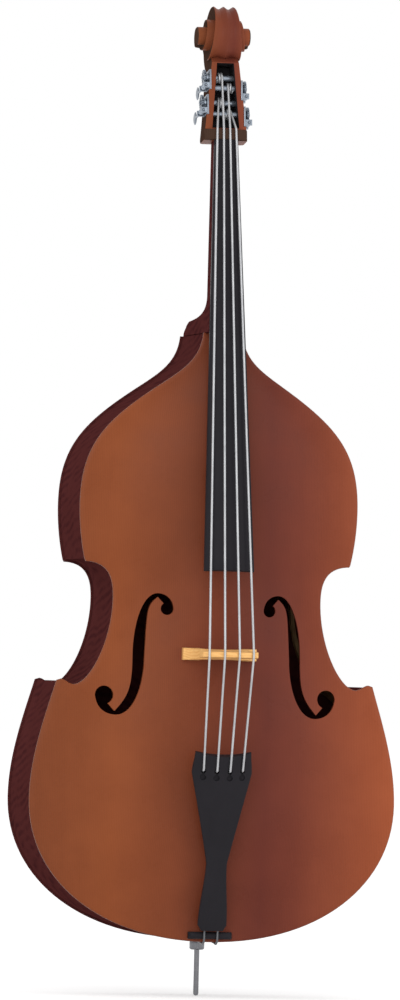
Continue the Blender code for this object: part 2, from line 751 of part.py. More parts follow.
def make_bar_and_post(front_tree, back_tree):
    """The bass bar under the front and the sound post between the plates."""
    rings = []
    steps = 10
    for i in range(steps + 1):
        share = i / steps
        z = BODY_LOW + BAR_LOW + BAR_LENGTH * share
        edges = (BAR_X - BAR_WIDTH / 2, BAR_X + BAR_WIDTH / 2)
        seat = max(inner_face(front_tree, x, z, -1) for x in edges) + 2 * GAP
        tall = BAR_END_HEIGHT + (BAR_HEIGHT - BAR_END_HEIGHT) * math.sin(math.pi * share)
        rings.append([Vector((x, y, z)) for x, y in ((edges[0], seat), (edges[1], seat),
                                                     (edges[1], seat + tall), (edges[0], seat + tall))])
    solid("bass_bar", loft(rings), "bare_spruce")
    z = BODY_LOW + BRIDGE_RISE - POST_BELOW_BRIDGE
    rim = circle(POST_RADIUS, 8, (POST_X, z))
    front = max(inner_face(front_tree, x, height, -1) for x, height in rim) + GAP
    back = min(inner_face(back_tree, x, height, 1) for x, height in rim) - GAP
    post = solid("sound_post", loft(turned([(front, POST_RADIUS), (back, POST_RADIUS)], "Y")), "bare_spruce")
    post.location = (POST_X, 0, z)


def neck_point(x, out, up):
    """World place of a point given across, out from and up along the glue plane."""
    return NECK_ORIGIN + NECK_TURN @ Vector((x, -out, up))


def board_half(up):
    share = (up + BOARD_BELOW) / (BOARD_BELOW + NECK_LENGTH)
    return (BOARD_END_WIDTH + (BOARD_TOP_WIDTH - BOARD_END_WIDTH) * share) / 2


def board_height(x, up):
    """Height of the crowned playing surface over the glue plane."""
    edge = math.sqrt(BOARD_RADIUS**2 - board_half(up) ** 2)
    return BOARD_SIDE + math.sqrt(BOARD_RADIUS**2 - x**2) - edge


def make_fingerboard(neck_frame):
    rings = []
    for up in (-BOARD_BELOW, -BOARD_BELOW / 2, 0.0, NECK_LENGTH / 2, NECK_LENGTH):
        half = board_half(up)
        ring = [Vector((half, -GAP, up)), Vector((-half, -GAP, up))]
        for i in range(11):
            x = half * (i - 5) / 5
            ring.append(Vector((x, -board_height(x, up), up)))
        rings.append(ring)
    solid("fingerboard", loft(rings), "ebony", neck_frame)


def nut_height(x):
    return board_height(x, NECK_LENGTH) + NUT_RISE


def make_nut(neck_frame):
    """The nut: a crowned bar over the foot of the pegbox."""
    rings = []
    for i in range(13):
        x = NUT_HALF * (i - 6) / 6
        tall = nut_height(x)
        rings.append([Vector((x, -out, up)) for out, up in (
            (GAP, HEAD_LOW), (tall - 0.0015, HEAD_LOW), (tall, HEAD_LOW + 0.003),
            (tall, NUT_TOP - 0.002), (tall - 0.001, NUT_TOP), (GAP, NUT_TOP))])
    solid("nut", loft(rings), "chin_wood", neck_frame)


def neck_ring(front, back, half, square=NECK_SQUARE):
    """A U-shaped section between a front point and a back point of the neck, squarer at the heel's foot."""
    ring = []
    for i in range(13):
        a = math.pi * i / 12
        across = math.copysign(abs(math.cos(a)) ** (0.45 - 0.35 * square), math.cos(a))
        deep = math.sin(a) ** (0.75 - 0.55 * square)
        middle = front.lerp(back, deep)
        ring.append(Vector((half * across, middle.y, middle.z)))
    return ring


def make_neck():
    """Neck shaft and heel in one piece, with a tenon for the neck block."""
    floor = BODY_TOP + GAP
    heel_back = RIB_DEPTH / 2
    shaft_back = neck_point(0, -NECK_THICK_LOW, HEEL_HEIGHT + HEEL_FILLET)
    heel_top = floor + HEEL_HEIGHT
    tips = [Vector((0, heel_back, floor)),
            Vector((0, heel_back, floor + HEEL_HEIGHT * 0.55)),
            Vector((0, heel_back - 0.004, floor + HEEL_HEIGHT * 0.85)),
            Vector((0, heel_back - 0.016, heel_top))]
    bend = Vector((0, shaft_back.y, heel_top + 0.004))
    tips += [tips[-1].lerp(bend, 0.6)]
    curve = [tips[-1].lerp(bend, 0.45), bend, shaft_back]
    for i in range(5):
        t = i / 4
        a = curve[0].lerp(curve[1], t)
        b = curve[1].lerp(curve[2], t)
        tips.append(a.lerp(b, t))
    start = floor + GAP
    rise = math.cos(NECK_TILT)
    rings = []
    for i, tip in enumerate(tips):
        share = i / (len(tips) - 1)
        up = (floor - BODY_TOP) / rise + (HEEL_HEIGHT + HEEL_FILLET) * share
        front = neck_point(0, 0, up)
        half = HEEL_HALF + (board_half(up) - HEEL_HALF) * share
        if i == 0:
            front.z = floor
        rings.append(neck_ring(front, tip, half, max(NECK_SQUARE, 1 - 2 * share)))
    for share in (0.35, 0.7, 1.0):
        up = HEEL_HEIGHT + HEEL_FILLET + (NECK_LENGTH - HEEL_HEIGHT - HEEL_FILLET) * share
        thick = NECK_THICK_LOW + (NECK_THICK - NECK_THICK_LOW) * share
        rings.append(neck_ring(neck_point(0, 0, up), neck_point(0, -thick, up), board_half(up)))
    neck = solid("neck", loft(rings), "rib_varnish")
    half = RIB_DEPTH / 2 - TENON_INSET
    tenon = block((-TENON_HALF, -half, BODY_TOP - TENON_DEPTH), (TENON_HALF, half, start + HEEL_HEIGHT / 4))
    combine(neck, helper(tenon, "neck_tenon"), "UNION")


def pegbox_half(up):
    """Half width of the pegbox at a height up the neck."""
    share = (up - HEAD_LOW) / (NUT_LENGTH + PEGBOX_LENGTH)
    return PEGBOX_LOW_HALF + (PEGBOX_HIGH_HALF - PEGBOX_LOW_HALF) * share


def slot_half(up):
    share = (up - SLOT_LOW) / SLOT_LENGTH
    return SLOT_LOW_HALF + (SLOT_HIGH_HALF - SLOT_LOW_HALF) * share


def scroll_radius(turns):
    return SCROLL_RADIUS * SCROLL_TURN_RATIO**turns


def scroll_half(turns):
    """Half width of the scroll after a number of turns from its root."""
    stops = ((0.0, PEGBOX_HIGH_HALF - 0.001), (0.375, SCROLL_NARROW_HALF), (0.875, SCROLL_SECOND_HALF - 0.002),
             (1.375, SCROLL_SECOND_HALF), (2.0, (SCROLL_SECOND_HALF + SCROLL_EYE_HALF) / 2), (3.0, SCROLL_EYE_HALF))
    for (t0, w0), (t1, w1) in zip(stops, stops[1:]):
        if turns <= t1:
            share = (turns - t0) / (t1 - t0)
            return w0 + (w1 - w0) * share * share * (3 - 2 * share)
    return stops[-1][1]


def scroll_shape(columns=20, turns=2):
    """The volute: spiral steps on both sides that climb to the eye, and a fluted rim."""
    centre = (SCROLL_BACK, NUT_TOP + SCROLL_RISE)
    shape = bmesh.new()

    def spot(step, radius, x):
        angle = math.radians(-135) + math.tau * step / columns
        y = centre[0] - radius * math.sin(angle)
        return shape.verts.new((x, y, centre[1] + radius * math.cos(angle)))

    sides = []
    for side in (1, -1):
        cols = []
        for j in range(columns):
            col = []
            for k in range(turns):
                turn = k + j / columns
                col.append(spot(j, scroll_radius(turn), side * scroll_half(turn)))
                col.append(spot(j, scroll_radius(turn + 1), side * (scroll_half(turn) - SCROLL_HOLLOW)))
            col.append(spot(j, scroll_radius(turns + j / columns), side * SCROLL_EYE_HALF))
            cols.append(col)
        cols.append(cols[0][2:] + [cols[0][-1]] * 2)
        for one, two in zip(cols, cols[1:]):
            for m in range(2 * turns):
                corners = []
                for vert in (one[m], one[m + 1], two[m + 1], two[m]):
                    if vert not in corners:
                        corners.append(vert)
                if len(corners) > 2:
                    shape.faces.new(corners)
        shape.faces.new([col[-1] for col in cols[:-1]])
        sides.append(cols)
    rim = []
    for j in range(columns + 1):
        turn = j / columns
        radius, half = scroll_radius(turn), scroll_half(turn)
        middle = [spot(j, radius - SCROLL_FLUTE * part, half * x)
                  for x, part in ((0.5, 1.0), (0.0, 0.0), (-0.5, 1.0))]
        rim.append([sides[0][j][0]] + middle + [sides[1][j][0]])
    for one, two in zip(rim, rim[1:]):
        for m in range(4):
            shape.faces.new((one[m], one[m + 1], two[m + 1], two[m]))
    step = [sides[0][0][0], sides[0][0][1]] + rim[-1] + [sides[1][0][1]] + list(reversed(rim[0][1:]))
    shape.faces.new(step)
    return shape


def pegbox_shape():
    """The pegbox: a tapering block with a shelf for the nut."""
    top = NUT_TOP + PEGBOX_LENGTH
    throat = top + THROAT_RISE
    stations = ((HEAD_LOW, 0.0, PEGBOX_LOW_BACK - 0.008),
                (HEAD_LOW + 0.008, 0.0, PEGBOX_LOW_BACK),
                (NUT_TOP + GAP, 0.0, PEGBOX_LOW_BACK),
                (NUT_TOP + 2 * GAP, PEGBOX_FRONT, PEGBOX_LOW_BACK),
                (NUT_TOP + PEGBOX_LENGTH * 0.35, PEGBOX_FRONT, PEGBOX_LOW_BACK + 0.003),
                (NUT_TOP + PEGBOX_LENGTH * 0.7, PEGBOX_FRONT, PEGBOX_LOW_BACK + 0.011),
                (top - 0.004, PEGBOX_FRONT, PEGBOX_HIGH_BACK),
                (top + THROAT_RISE * 0.27, -THROAT_DROP / 3, PEGBOX_HIGH_BACK + PEGBOX_SOFT),
                (throat, -THROAT_DROP, PEGBOX_HIGH_BACK + PEGBOX_SOFT * 1.6))
    rings = []
    for up, front, back in stations:
        half = pegbox_half(up)
        soft = PEGBOX_SOFT
        rings.append([Vector((x, -out, up)) for x, out in (
            (half, front), (-half, front), (-half, soft - back), (soft - half, -back),
            (half - soft, -back), (half, soft - back))])
    return loft(rings)


def slot_shape():
    """The string slot between the cheeks."""
    rings = []
    for up in (SLOT_LOW + 0.002, SLOT_LOW + SLOT_LENGTH):
        half = slot_half(up)
        rings.append([Vector((x, -out, up)) for x, out in (
            (half, 2 * SLOT_FLOOR), (-half, 2 * SLOT_FLOOR), (-half, -SLOT_FLOOR), (half, -SLOT_FLOOR))])
    return loft(rings)


def tuner_seat(letter):
    """Side, height up the neck and seat plane of a tuning machine's base."""
    up = NUT_TOP + ROLLER_RISES[letter]
    return ROLLER_SIDES[letter], up, pegbox_half(up + BASE_UP + GAP) - GAP


def make_head(neck_frame):
    """Pegbox and scroll in one piece, cut for the strings, the rollers and their bases."""
    head = solid("head", pegbox_shape(), "head_varnish", neck_frame)
    combine(head, helper(scroll_shape(), "scroll_lump", neck_frame), "UNION")
    combine(head, helper(slot_shape(), "slot_cutter", neck_frame))
    rooms = bmesh.new()
    for letter in STRING_ORDER:
        side, up, seat = tuner_seat(letter)
        bore = turned([(side * (seat + BASE_THICK), ROLLER_RADIUS + RUN), (side * (-roller_far(letter) - RUN),
                       ROLLER_RADIUS + RUN)], "X")
        shift = Vector((0, ROLLER_BACK, up))
        loft([[point + shift for point in ring] for ring in bore], rooms)
    combine(head, helper(rooms, "roller_cutter", neck_frame))
    for letter in STRING_ORDER:
        side, up, seat = tuner_seat(letter)
        edge = side * PEGBOX_LOW_HALF * 2
        low, high = sorted((side * seat, edge))
        depth = BASE_HALF_DEPTH + GAP
        room = block((low, ROLLER_BACK - depth, up - BASE_DOWN - GAP), (high, ROLLER_BACK + depth, up + BASE_UP + GAP))
        combine(head, helper(room, f"base_cutter_{letter}", neck_frame))


def roller_far(letter):
    """How far past the middle a roller reaches, into its seat in the far cheek."""
    return slot_half(NUT_TOP + ROLLER_RISES[letter]) + ROLLER_SEAT


def make_base(letter, neck_frame):
    """Base plate with a boss round the roller and two lugs that carry the worm."""
    side, up, seat = tuner_seat(letter)
    seat += GAP

    def box(x0, x1, y0, y1, z0, z1):
        low, high = sorted((side * (seat + x0), side * (seat + x1)))
        return block((low, ROLLER_BACK + y0, up + z0), (high, ROLLER_BACK + y1, up + z1))

    plate = box(0, BASE_THICK, -BASE_HALF_DEPTH, BASE_HALF_DEPTH, -BASE_DOWN, BASE_UP)
    base = solid(f"tuner_base_{letter}", plate, "tuner_steel", neck_frame)
    boss = turned([(side * (seat + BASE_THICK / 2), BOSS_RADIUS), (side * (seat + BASE_THICK + BOSS_LENGTH),
                  BOSS_RADIUS)], "X")
    shift = Vector((0, ROLLER_BACK, up))
    boss = helper(loft([[p + shift for p in ring] for ring in boss]), f"boss_{letter}", neck_frame)
    combine(base, boss, "UNION")
    near = GEAR_RADIUS + LUG_CLEAR
    reach = GEAR_INNER + GEAR_THICK / 2 + WORM_SHAFT + 0.003
    for word, y0 in (("front", -near - LUG_THICK), ("back", near)):
        lug = box(BASE_THICK / 2, reach, y0, y0 + LUG_THICK, -WORM_OFFSET - WORM_SHAFT - 0.003,
                  -WORM_OFFSET + WORM_SHAFT + 0.003)
        combine(base, helper(lug, f"lug_{word}_{letter}", neck_frame), "UNION")
    holes = bmesh.new()
    bore = turned([(side * (seat - BASE_THICK), JOURNAL_RADIUS + RUN), (side * (seat + 2 * GEAR_OUTER),
                  JOURNAL_RADIUS + RUN)], "X")
    loft([[p + shift for p in ring] for ring in bore], holes)
    across = Vector((side * (seat + GEAR_INNER + GEAR_THICK / 2), ROLLER_BACK, up - WORM_OFFSET))
    bore = turned([(-BASE_HALF_DEPTH * 2, WORM_SHAFT + RUN), (BASE_HALF_DEPTH * 2, WORM_SHAFT + RUN)], "Y")
    loft([[p + across for p in ring] for ring in bore], holes)
    combine(base, helper(holes, f"base_bore_{letter}", neck_frame))


def gear_outline():
    """Trapezoid teeth with wide gaps, one gap centred straight down."""
    points = []
    pitch = math.tau / GEAR_TEETH
    root = GEAR_RADIUS - 2.2 * GEAR_MODULE
    for i in range(GEAR_TEETH):
        middle = -math.pi / 2 + pitch * (i + 0.5)
        for part, radius in ((-0.27, root), (-0.10, GEAR_RADIUS), (0.10, GEAR_RADIUS), (0.27, root)):
            angle = middle + part * pitch
            points.append((radius * math.cos(angle), radius * math.sin(angle)))
    return points


def make_roller(letter, neck_frame):
    """Roller, gear and screw on one axis, under an empty on that axis."""
    side, up, seat = tuner_seat(letter)
    seat += GAP
    axis = frame_empty(f"roller_axis_{letter}", (0, ROLLER_BACK, up), None, neck_frame)
    end = seat + GEAR_OUTER
    far = roller_far(letter)
    profile = [(-far, ROLLER_RADIUS - 0.001), (0.001 - far, ROLLER_RADIUS), (seat - GAP - RUN, ROLLER_RADIUS),
               (seat - GAP - RUN, JOURNAL_RADIUS), (end, JOURNAL_RADIUS), (end, SCREW_RADIUS + GAP),
               (end - SCREW_LENGTH - GAP, SCREW_RADIUS + GAP)]
    rings = turned([(side * x, r) for x, r in profile], "X")
    solid(f"tuner_roller_{letter}", loft(rings), "tuner_steel", axis)
    low, high = sorted((side * (seat + GEAR_INNER), side * (seat + GEAR_OUTER)))
    loops = [gear_outline(), circle(JOURNAL_RADIUS + GAP, ROUND)]
    solid(f"tuner_gear_{letter}", slab(loops, low, high, on_yz), "tuner_steel", axis)
    profile = [(end - SCREW_LENGTH, SCREW_RADIUS), (end + GAP, SCREW_RADIUS), (end + GAP, SCREW_HEAD_RADIUS),
               (end + 0.6 * SCREW_HEAD, SCREW_HEAD_RADIUS * 0.9), (end + SCREW_HEAD, SCREW_HEAD_RADIUS * 0.5)]
    solid(f"tuner_screw_{letter}", loft(turned([(side * x, r) for x, r in profile], "X", 12)), "tuner_steel", axis)
    return axis


def worm_reach(along, angle, hand):
    """Radius of the single-start thread at a place along the worm."""
    phase = (along / WORM_PITCH - hand * angle / math.tau + 0.5) % 1.0
    crest = max(0.0, min(1.0, (0.24 - abs(phase - 0.5)) / 0.14))
    return WORM_RADIUS - WORM_DEPTH * (1 - crest)


def make_worm(letter, neck_frame):
    """Worm, shaft and thumb key in one piece, under an empty on the worm's axis."""
    side, up, seat = tuner_seat(letter)
    middle = side * (seat + GAP + GEAR_INNER + GEAR_THICK / 2)
    axis = frame_empty(f"worm_axis_{letter}", (middle, ROLLER_BACK, up - WORM_OFFSET), None, neck_frame)
    near = GEAR_RADIUS + LUG_CLEAR
    half = WORM_TURNS * WORM_PITCH / 2
    rings = []

    def ring(along, width, depth):
        spots = circle(1.0, WORM_ROUND, (0.0, 0.0), math.pi / 2)
        rings.append([Vector((depth * u, along, width * v)) for u, v in spots])

    front_end = -near - LUG_THICK - 0.0015
    ring(front_end, WORM_SHAFT * 0.7, WORM_SHAFT * 0.7)
    ring(front_end + 0.001, WORM_SHAFT, WORM_SHAFT)
    ring(-half, WORM_SHAFT, WORM_SHAFT)
    steps = 5 * WORM_TURNS
    for i in range(steps + 1):
        along = -half + 2 * half * i / steps
        spots = []
        for m in range(WORM_ROUND):
            angle = math.pi / 2 + math.tau * m / WORM_ROUND
            radius = worm_reach(along, angle - math.pi / 2, side)
            if i in (0, steps):
                radius = WORM_RADIUS - WORM_DEPTH
            spots.append(Vector((radius * math.cos(angle), along, radius * math.sin(angle))))
        rings.append(spots)
    ring(half, WORM_SHAFT, WORM_SHAFT)
    back_end = near + LUG_THICK
    ring(back_end + KEY_STEM, WORM_SHAFT, WORM_SHAFT)
    for share, wide in ((0.12, 0.45), (0.3, 0.85), (0.55, 1.0), (0.8, 0.9), (1.0, 0.55)):
        ring(back_end + KEY_STEM + KEY_LENGTH * share, KEY_HALF * wide, KEY_THICK / 2)
    solid(f"tuner_worm_{letter}", loft(rings), "tuner_steel", axis)


def string_x(index, spacing):
    return spacing * (index - 1.5)


def crown_line():
    """World place of the middle string line over the bridge."""
    nut = neck_point(0, nut_height(0) + STRING_RADIUS + GAP, NUT_TOP)
    end = neck_point(0, board_height(0, -BOARD_BELOW) + ACTION + STRING_RADIUS, -BOARD_BELOW)
    share = (BODY_LOW + BRIDGE_RISE - nut.z) / (end.z - nut.z)
    return nut.lerp(end, share)


def bridge_spot(x):
    """World place of a string's centre on the bridge's crown."""
    crown = crown_line()
    fall = BRIDGE_RADIUS - math.sqrt(BRIDGE_RADIUS**2 - x * x)
    return Vector((x, crown.y + fall, crown.z))


def tail_frame():
    """Origin and turn of the tailpiece's frame, which points from the saddle to the bridge."""
    wire = saddle_crest()
    start = Vector((0, wire.y - STRING_RADIUS - TAILPIECE_THICK / 2, wire.z))
    along = (crown_line() - start).normalized()
    return start, math.atan2(-along.y, along.z)


def saddle_crest():
    """Centre of the tail wire over the saddle."""
    out = PLATE_PLANE + PLATE_THICK + SADDLE_PROUD + WIRE_RADIUS + GAP
    return Vector((0, -out, BODY_LOW + (SADDLE_LOW + SADDLE_HIGH) / 2))


def tail_point(x, y, up):
    start, turn = tail_frame()
    return start + Matrix.Rotation(turn, 3, "X") @ Vector((x, y, up))


def tail_face(x):
    """Depth of the tailpiece's crowned front behind the string line."""
    fall = TAILPIECE_CROWN_RADIUS - math.sqrt(TAILPIECE_CROWN_RADIUS**2 - x * x)
    return STRING_RADIUS + 3 * GAP + fall


def roller_turn(letter):
    """Roller centre, radius of the string's turns and the angle where the string lands."""
    index = STRING_ORDER.index(letter)
    start = Vector((nut_height(string_x(index, NUT_SPACING)) + STRING_RADIUS + GAP, NUT_TOP))
    centre = Vector((-ROLLER_BACK, NUT_TOP + ROLLER_RISES[letter]))
    radius = ROLLER_RADIUS + STRING_RADIUS + GAP
    line = start - centre
    land = math.atan2(line.y, line.x) + math.acos(radius / line.length)
    return centre, radius, land


def turn_point(letter, turns):
    """Neck-frame point of a string's winding after a number of turns from where it lands."""
    centre, radius, land = roller_turn(letter)
    angle = land + math.tau * turns
    x = WIND_STARTS[letter] + WIND_WAYS[letter] * WIND_PITCH * turns
    return x, centre.x + radius * math.cos(angle), centre.y + radius * math.sin(angle)


def make_string(letter):
    """One string from its keyhole over the bridge and the nut to its roller."""
    index = STRING_ORDER.index(letter)
    tail_x = string_x(index, TAIL_SPACING)
    hole_up = TAILPIECE_ABOVE_SADDLE + TAILPIECE_LENGTH - KEYHOLE_BELOW_TOP
    face = tail_face(tail_x)
    run = face - STRING_RADIUS - GAP
    points = [tail_point(tail_x, face + TAILPIECE_EDGE, hole_up),
              tail_point(tail_x, face + 0.001, hole_up + 0.0003),
              tail_point(tail_x, run + 0.0005, hole_up + 0.0022),
              tail_point(tail_x, run, hole_up + 0.006)]
    over = bridge_spot(string_x(index, BRIDGE_SPACING))
    nut_x = string_x(index, NUT_SPACING)
    nut = neck_point(nut_x, nut_height(nut_x) + STRING_RADIUS + GAP, NUT_TOP)
    across = Vector((0, 0, BRIDGE_TOP_THICK / 2 + GAP))
    points += [points[-1].lerp(over - across, 0.5), over - across, over + across]
    points += [(over + across).lerp(nut, share) for share in (0.33, 0.67, 1.0)]
    steps = round(24 * WRAP_TURNS)
    points += [neck_point(*turn_point(letter, WRAP_TURNS * i / steps)) for i in range(steps + 1)]
    tube(f"string_{letter}", points, STRING_RADIUS, 2, "string_wire")


def make_winding(letter, axis):
    """The turns that ride on the roller, after the wrap that the string itself makes."""
    first = WRAP_TURNS + WIND_BREAK
    steps = round(24 * WIND_TURNS)
    centre = Vector((0, ROLLER_BACK, NUT_TOP + ROLLER_RISES[letter]))
    points = []
    for i in range(steps + 1):
        x, out, up = turn_point(letter, first + WIND_TURNS * i / steps)
        points.append(Vector((x, -out, up)) - centre)
    gaps = [(points[i] - points[j]).length for i in range(len(points)) for j in range(i + 12, len(points))]
    print(f"string_winding_{letter}: least gap to itself {1000 * (min(gaps) - 2 * STRING_RADIUS):.2f} mm")
    tube(f"string_winding_{letter}", points, STRING_RADIUS, 1, "string_wire", axis)


def bridge_outline(foot_y, top_y):
    """Right half of the bridge from the crown to the arch between the feet, as (x, y)."""
    tall = top_y - foot_y
    crown = [BRIDGE_TOP_HALF * i / 6 for i in range(7)]
    points = [(x, bridge_spot(x).y + STRING_RADIUS + GAP) for x in crown]
    corner = points[-1]
    side = bezier(corner, (BRIDGE_TOP_HALF + 0.004, foot_y + 0.72 * tall),
                  (BRIDGE_WAIST_HALF + 0.012, foot_y + 0.66 * tall), (BRIDGE_WAIST_HALF, foot_y + 0.56 * tall), 5)
    kidney = bezier(side[-1], (BRIDGE_WAIST_HALF - 0.022, foot_y + 0.52 * tall),
                    (BRIDGE_WAIST_HALF - 0.020, foot_y + 0.40 * tall), (BRIDGE_WAIST_HALF, foot_y + 0.37 * tall), 6)
    ankle = bezier(kidney[-1], (BRIDGE_WAIST_HALF + 0.006, foot_y + 0.20 * tall),
                   (BRIDGE_FOOT_HALF - 0.012, foot_y + 0.12 * tall), (BRIDGE_FOOT_HALF, foot_y + 0.07 * tall), 5)
    return chain(points, side, kidney, ankle)


def make_bridge(front_tree):
    """The bridge: crowned top, kidneys, heart, arch and two feet fitted to the front."""
    z = BODY_LOW + BRIDGE_RISE
    inner = BRIDGE_FOOT_HALF - BRIDGE_FOOT_WIDTH

    def sole(x):
        heights = [outer_face(front_tree, x, z + part * BRIDGE_FOOT_THICK / 2, -1) for part in (-1, 0, 1)]
        return min(heights) - GAP

    foot_y = sole(0)
    top_y = bridge_spot(0).y
    tall = top_y - foot_y
    right = bridge_outline(foot_y, top_y)
    right += [(x, sole(x)) for x in (BRIDGE_FOOT_HALF, (BRIDGE_FOOT_HALF + inner) / 2, inner)]
    right += bezier((inner, foot_y + 0.07 * tall), (inner - 0.002, foot_y + 0.17 * tall),
                    (inner * 0.5, foot_y + 0.24 * tall), (0, foot_y + 0.24 * tall), 5)
    outline = right + [(-x, y) for x, y in reversed(right[1:-1])]
    heart = bezier((0, foot_y + 0.40 * tall), (0.016, foot_y + 0.52 * tall),
                   (0.013, foot_y + 0.66 * tall), (0, foot_y + 0.60 * tall), 6)
    heart += [(-x, y) for x, y in reversed(heart[1:-1])]
    shape = slab([outline, heart], -0.5, 0.5, lambda x, y, part: Vector((x, y, part)))
    for vert in shape.verts:
        share = max(0.0, min(1.0, (vert.co.y - foot_y) / tall))
        thick = BRIDGE_FOOT_THICK + (BRIDGE_TOP_THICK - BRIDGE_FOOT_THICK) * min(1.0, share * 1.1)
        vert.co.z = z + vert.co.z * thick
    solid("bridge", shape, "bridge_maple")


def tailpiece_half(up):
    """Half width of the tailpiece at a height above its lower end."""
    share = up / TAILPIECE_LENGTH
    stops = ((0.0, TAILPIECE_END_HALF - 0.006), (0.03, TAILPIECE_END_HALF),
             (TAILPIECE_WAIST_SHARE, TAILPIECE_WAIST_HALF), (TAILPIECE_HEAD_SHARE, TAILPIECE_HEAD_HALF),
             (1.0, TAILPIECE_HEAD_HALF - 0.004))
    for (s0, w0), (s1, w1) in zip(stops, stops[1:]):
        if share <= s1:
            t = (share - s0) / (s1 - s0)
            ease = t * t * (3 - 2 * t) if w1 < w0 else t ** 1.05
            return w0 + (w1 - w0) * ease
    return stops[-1][1]


def make_tailpiece(tail_empty):
    """A crowned, waisted tailpiece with keyholes for the strings and seats for the wire."""
    rings = []
    back = STRING_RADIUS + 3 * GAP + TAILPIECE_THICK
    for share in (0.0, 0.03, 0.14, 0.26, TAILPIECE_WAIST_SHARE, 0.5, 0.62, 0.75, TAILPIECE_HEAD_SHARE, 1.0):
        half = tailpiece_half(share * TAILPIECE_LENGTH)
        up = TAILPIECE_ABOVE_SADDLE + share * TAILPIECE_LENGTH
        ring = []
        for i in range(9):
            x = half * (i - 4) / 4
            scoop = 0.006 * (1 - (x / half) ** 2) if share == 1.0 else 0.0
            ring.append(Vector((x, tail_face(x), up - scoop)))
        for x in (half, half * 0.5, -half * 0.5, -half):
            deep = max(back if abs(x) < half else 0.0, tail_face(x) + TAILPIECE_EDGE)
            ring.append(Vector((x, deep, up)))
        rings.append(ring)
    tailpiece = solid("tailpiece", loft(rings), "ebony", tail_empty)
    holes = bmesh.new()
    hole_up = TAILPIECE_ABOVE_SADDLE + TAILPIECE_LENGTH - KEYHOLE_BELOW_TOP
    for index in range(4):
        x = string_x(index, TAIL_SPACING)
        bore = turned([(-TAILPIECE_THICK, KEYHOLE_RADIUS), (3 * TAILPIECE_THICK, KEYHOLE_RADIUS)], "Y", 12)
        loft([[p + Vector((x, 0, hole_up)) for p in ring] for ring in bore], holes)
    for side in (-1, 1):
        bore = turned([(-WIRE_SEAT, WIRE_RADIUS + GAP), (TAILPIECE_ABOVE_SADDLE + WIRE_SEAT + GAP, WIRE_RADIUS + GAP)],
                      "Z", 12)
        loft([[p + Vector((side * WIRE_HALF, wire_depth(), 0)) for p in ring] for ring in bore], holes)
    combine(tailpiece, helper(holes, "keyhole_cutter", tail_empty))


def wire_depth():
    """Depth of the tail wire's ends inside the tailpiece."""
    return STRING_RADIUS + 3 * GAP + TAILPIECE_THICK / 2


def make_tail_wire():
    """A loop from the tailpiece over the saddle and round the endpin's collar."""
    crest = saddle_crest()
    under = BODY_LOW + OVERHANG - WIRE_RADIUS - GAP
    edge = BODY_LOW - WIRE_RADIUS - GAP
    ring = COLLAR_NECK_RADIUS + WIRE_RADIUS + GAP
    right = [tail_point(WIRE_HALF, wire_depth(), TAILPIECE_ABOVE_SADDLE + WIRE_SEAT),
             tail_point(WIRE_HALF, wire_depth(), TAILPIECE_ABOVE_SADDLE / 2),
             Vector((WIRE_HALF, crest.y, crest.z + 0.003)),
             Vector((WIRE_HALF, crest.y, crest.z - 0.003)),
             Vector((WIRE_HALF, crest.y + 0.003, BODY_LOW + 0.001)),
             Vector((WIRE_HALF, -(PLATE_PLANE + PLATE_THICK), edge - 0.001)),
             Vector((WIRE_HALF, -PLATE_PLANE + 0.006, edge + 0.001)),
             Vector((ring, -PLATE_PLANE / 2, under - 0.001)),
             Vector((ring, -ring * 1.5, under))]
    turn = [Vector((ring * math.cos(a), ring * math.sin(a), under))
            for a in [math.pi * i / 8 for i in range(9)]]
    left = [Vector((-p.x, p.y, p.z)) for p in reversed(right)]
    tube("tail_wire", right + turn + left, WIRE_RADIUS, 1, "tail_cable")


def make_saddle():
    """A rounded bar let into the lower edge of the front."""
    back = -RIB_DEPTH / 2 - GAP
    proud = -(PLATE_PLANE + PLATE_THICK + SADDLE_PROUD)
    low, high = BODY_LOW + SADDLE_LOW, BODY_LOW + SADDLE_HIGH
    rings = []
    for x, drop in ((-SADDLE_HALF, 0.006), (-SADDLE_HALF + 0.006, 0.001), (0.0, 0.0),
                    (SADDLE_HALF - 0.006, 0.001), (SADDLE_HALF, 0.006)):
        face = proud + drop
        rings.append([Vector((x, y, z)) for y, z in (
            (back, low), (face + 0.003, low), (face, low + 0.004), (face, high - 0.004),
            (face + 0.003, high), (back, high))])
    solid("saddle", loft(rings), "ebony")


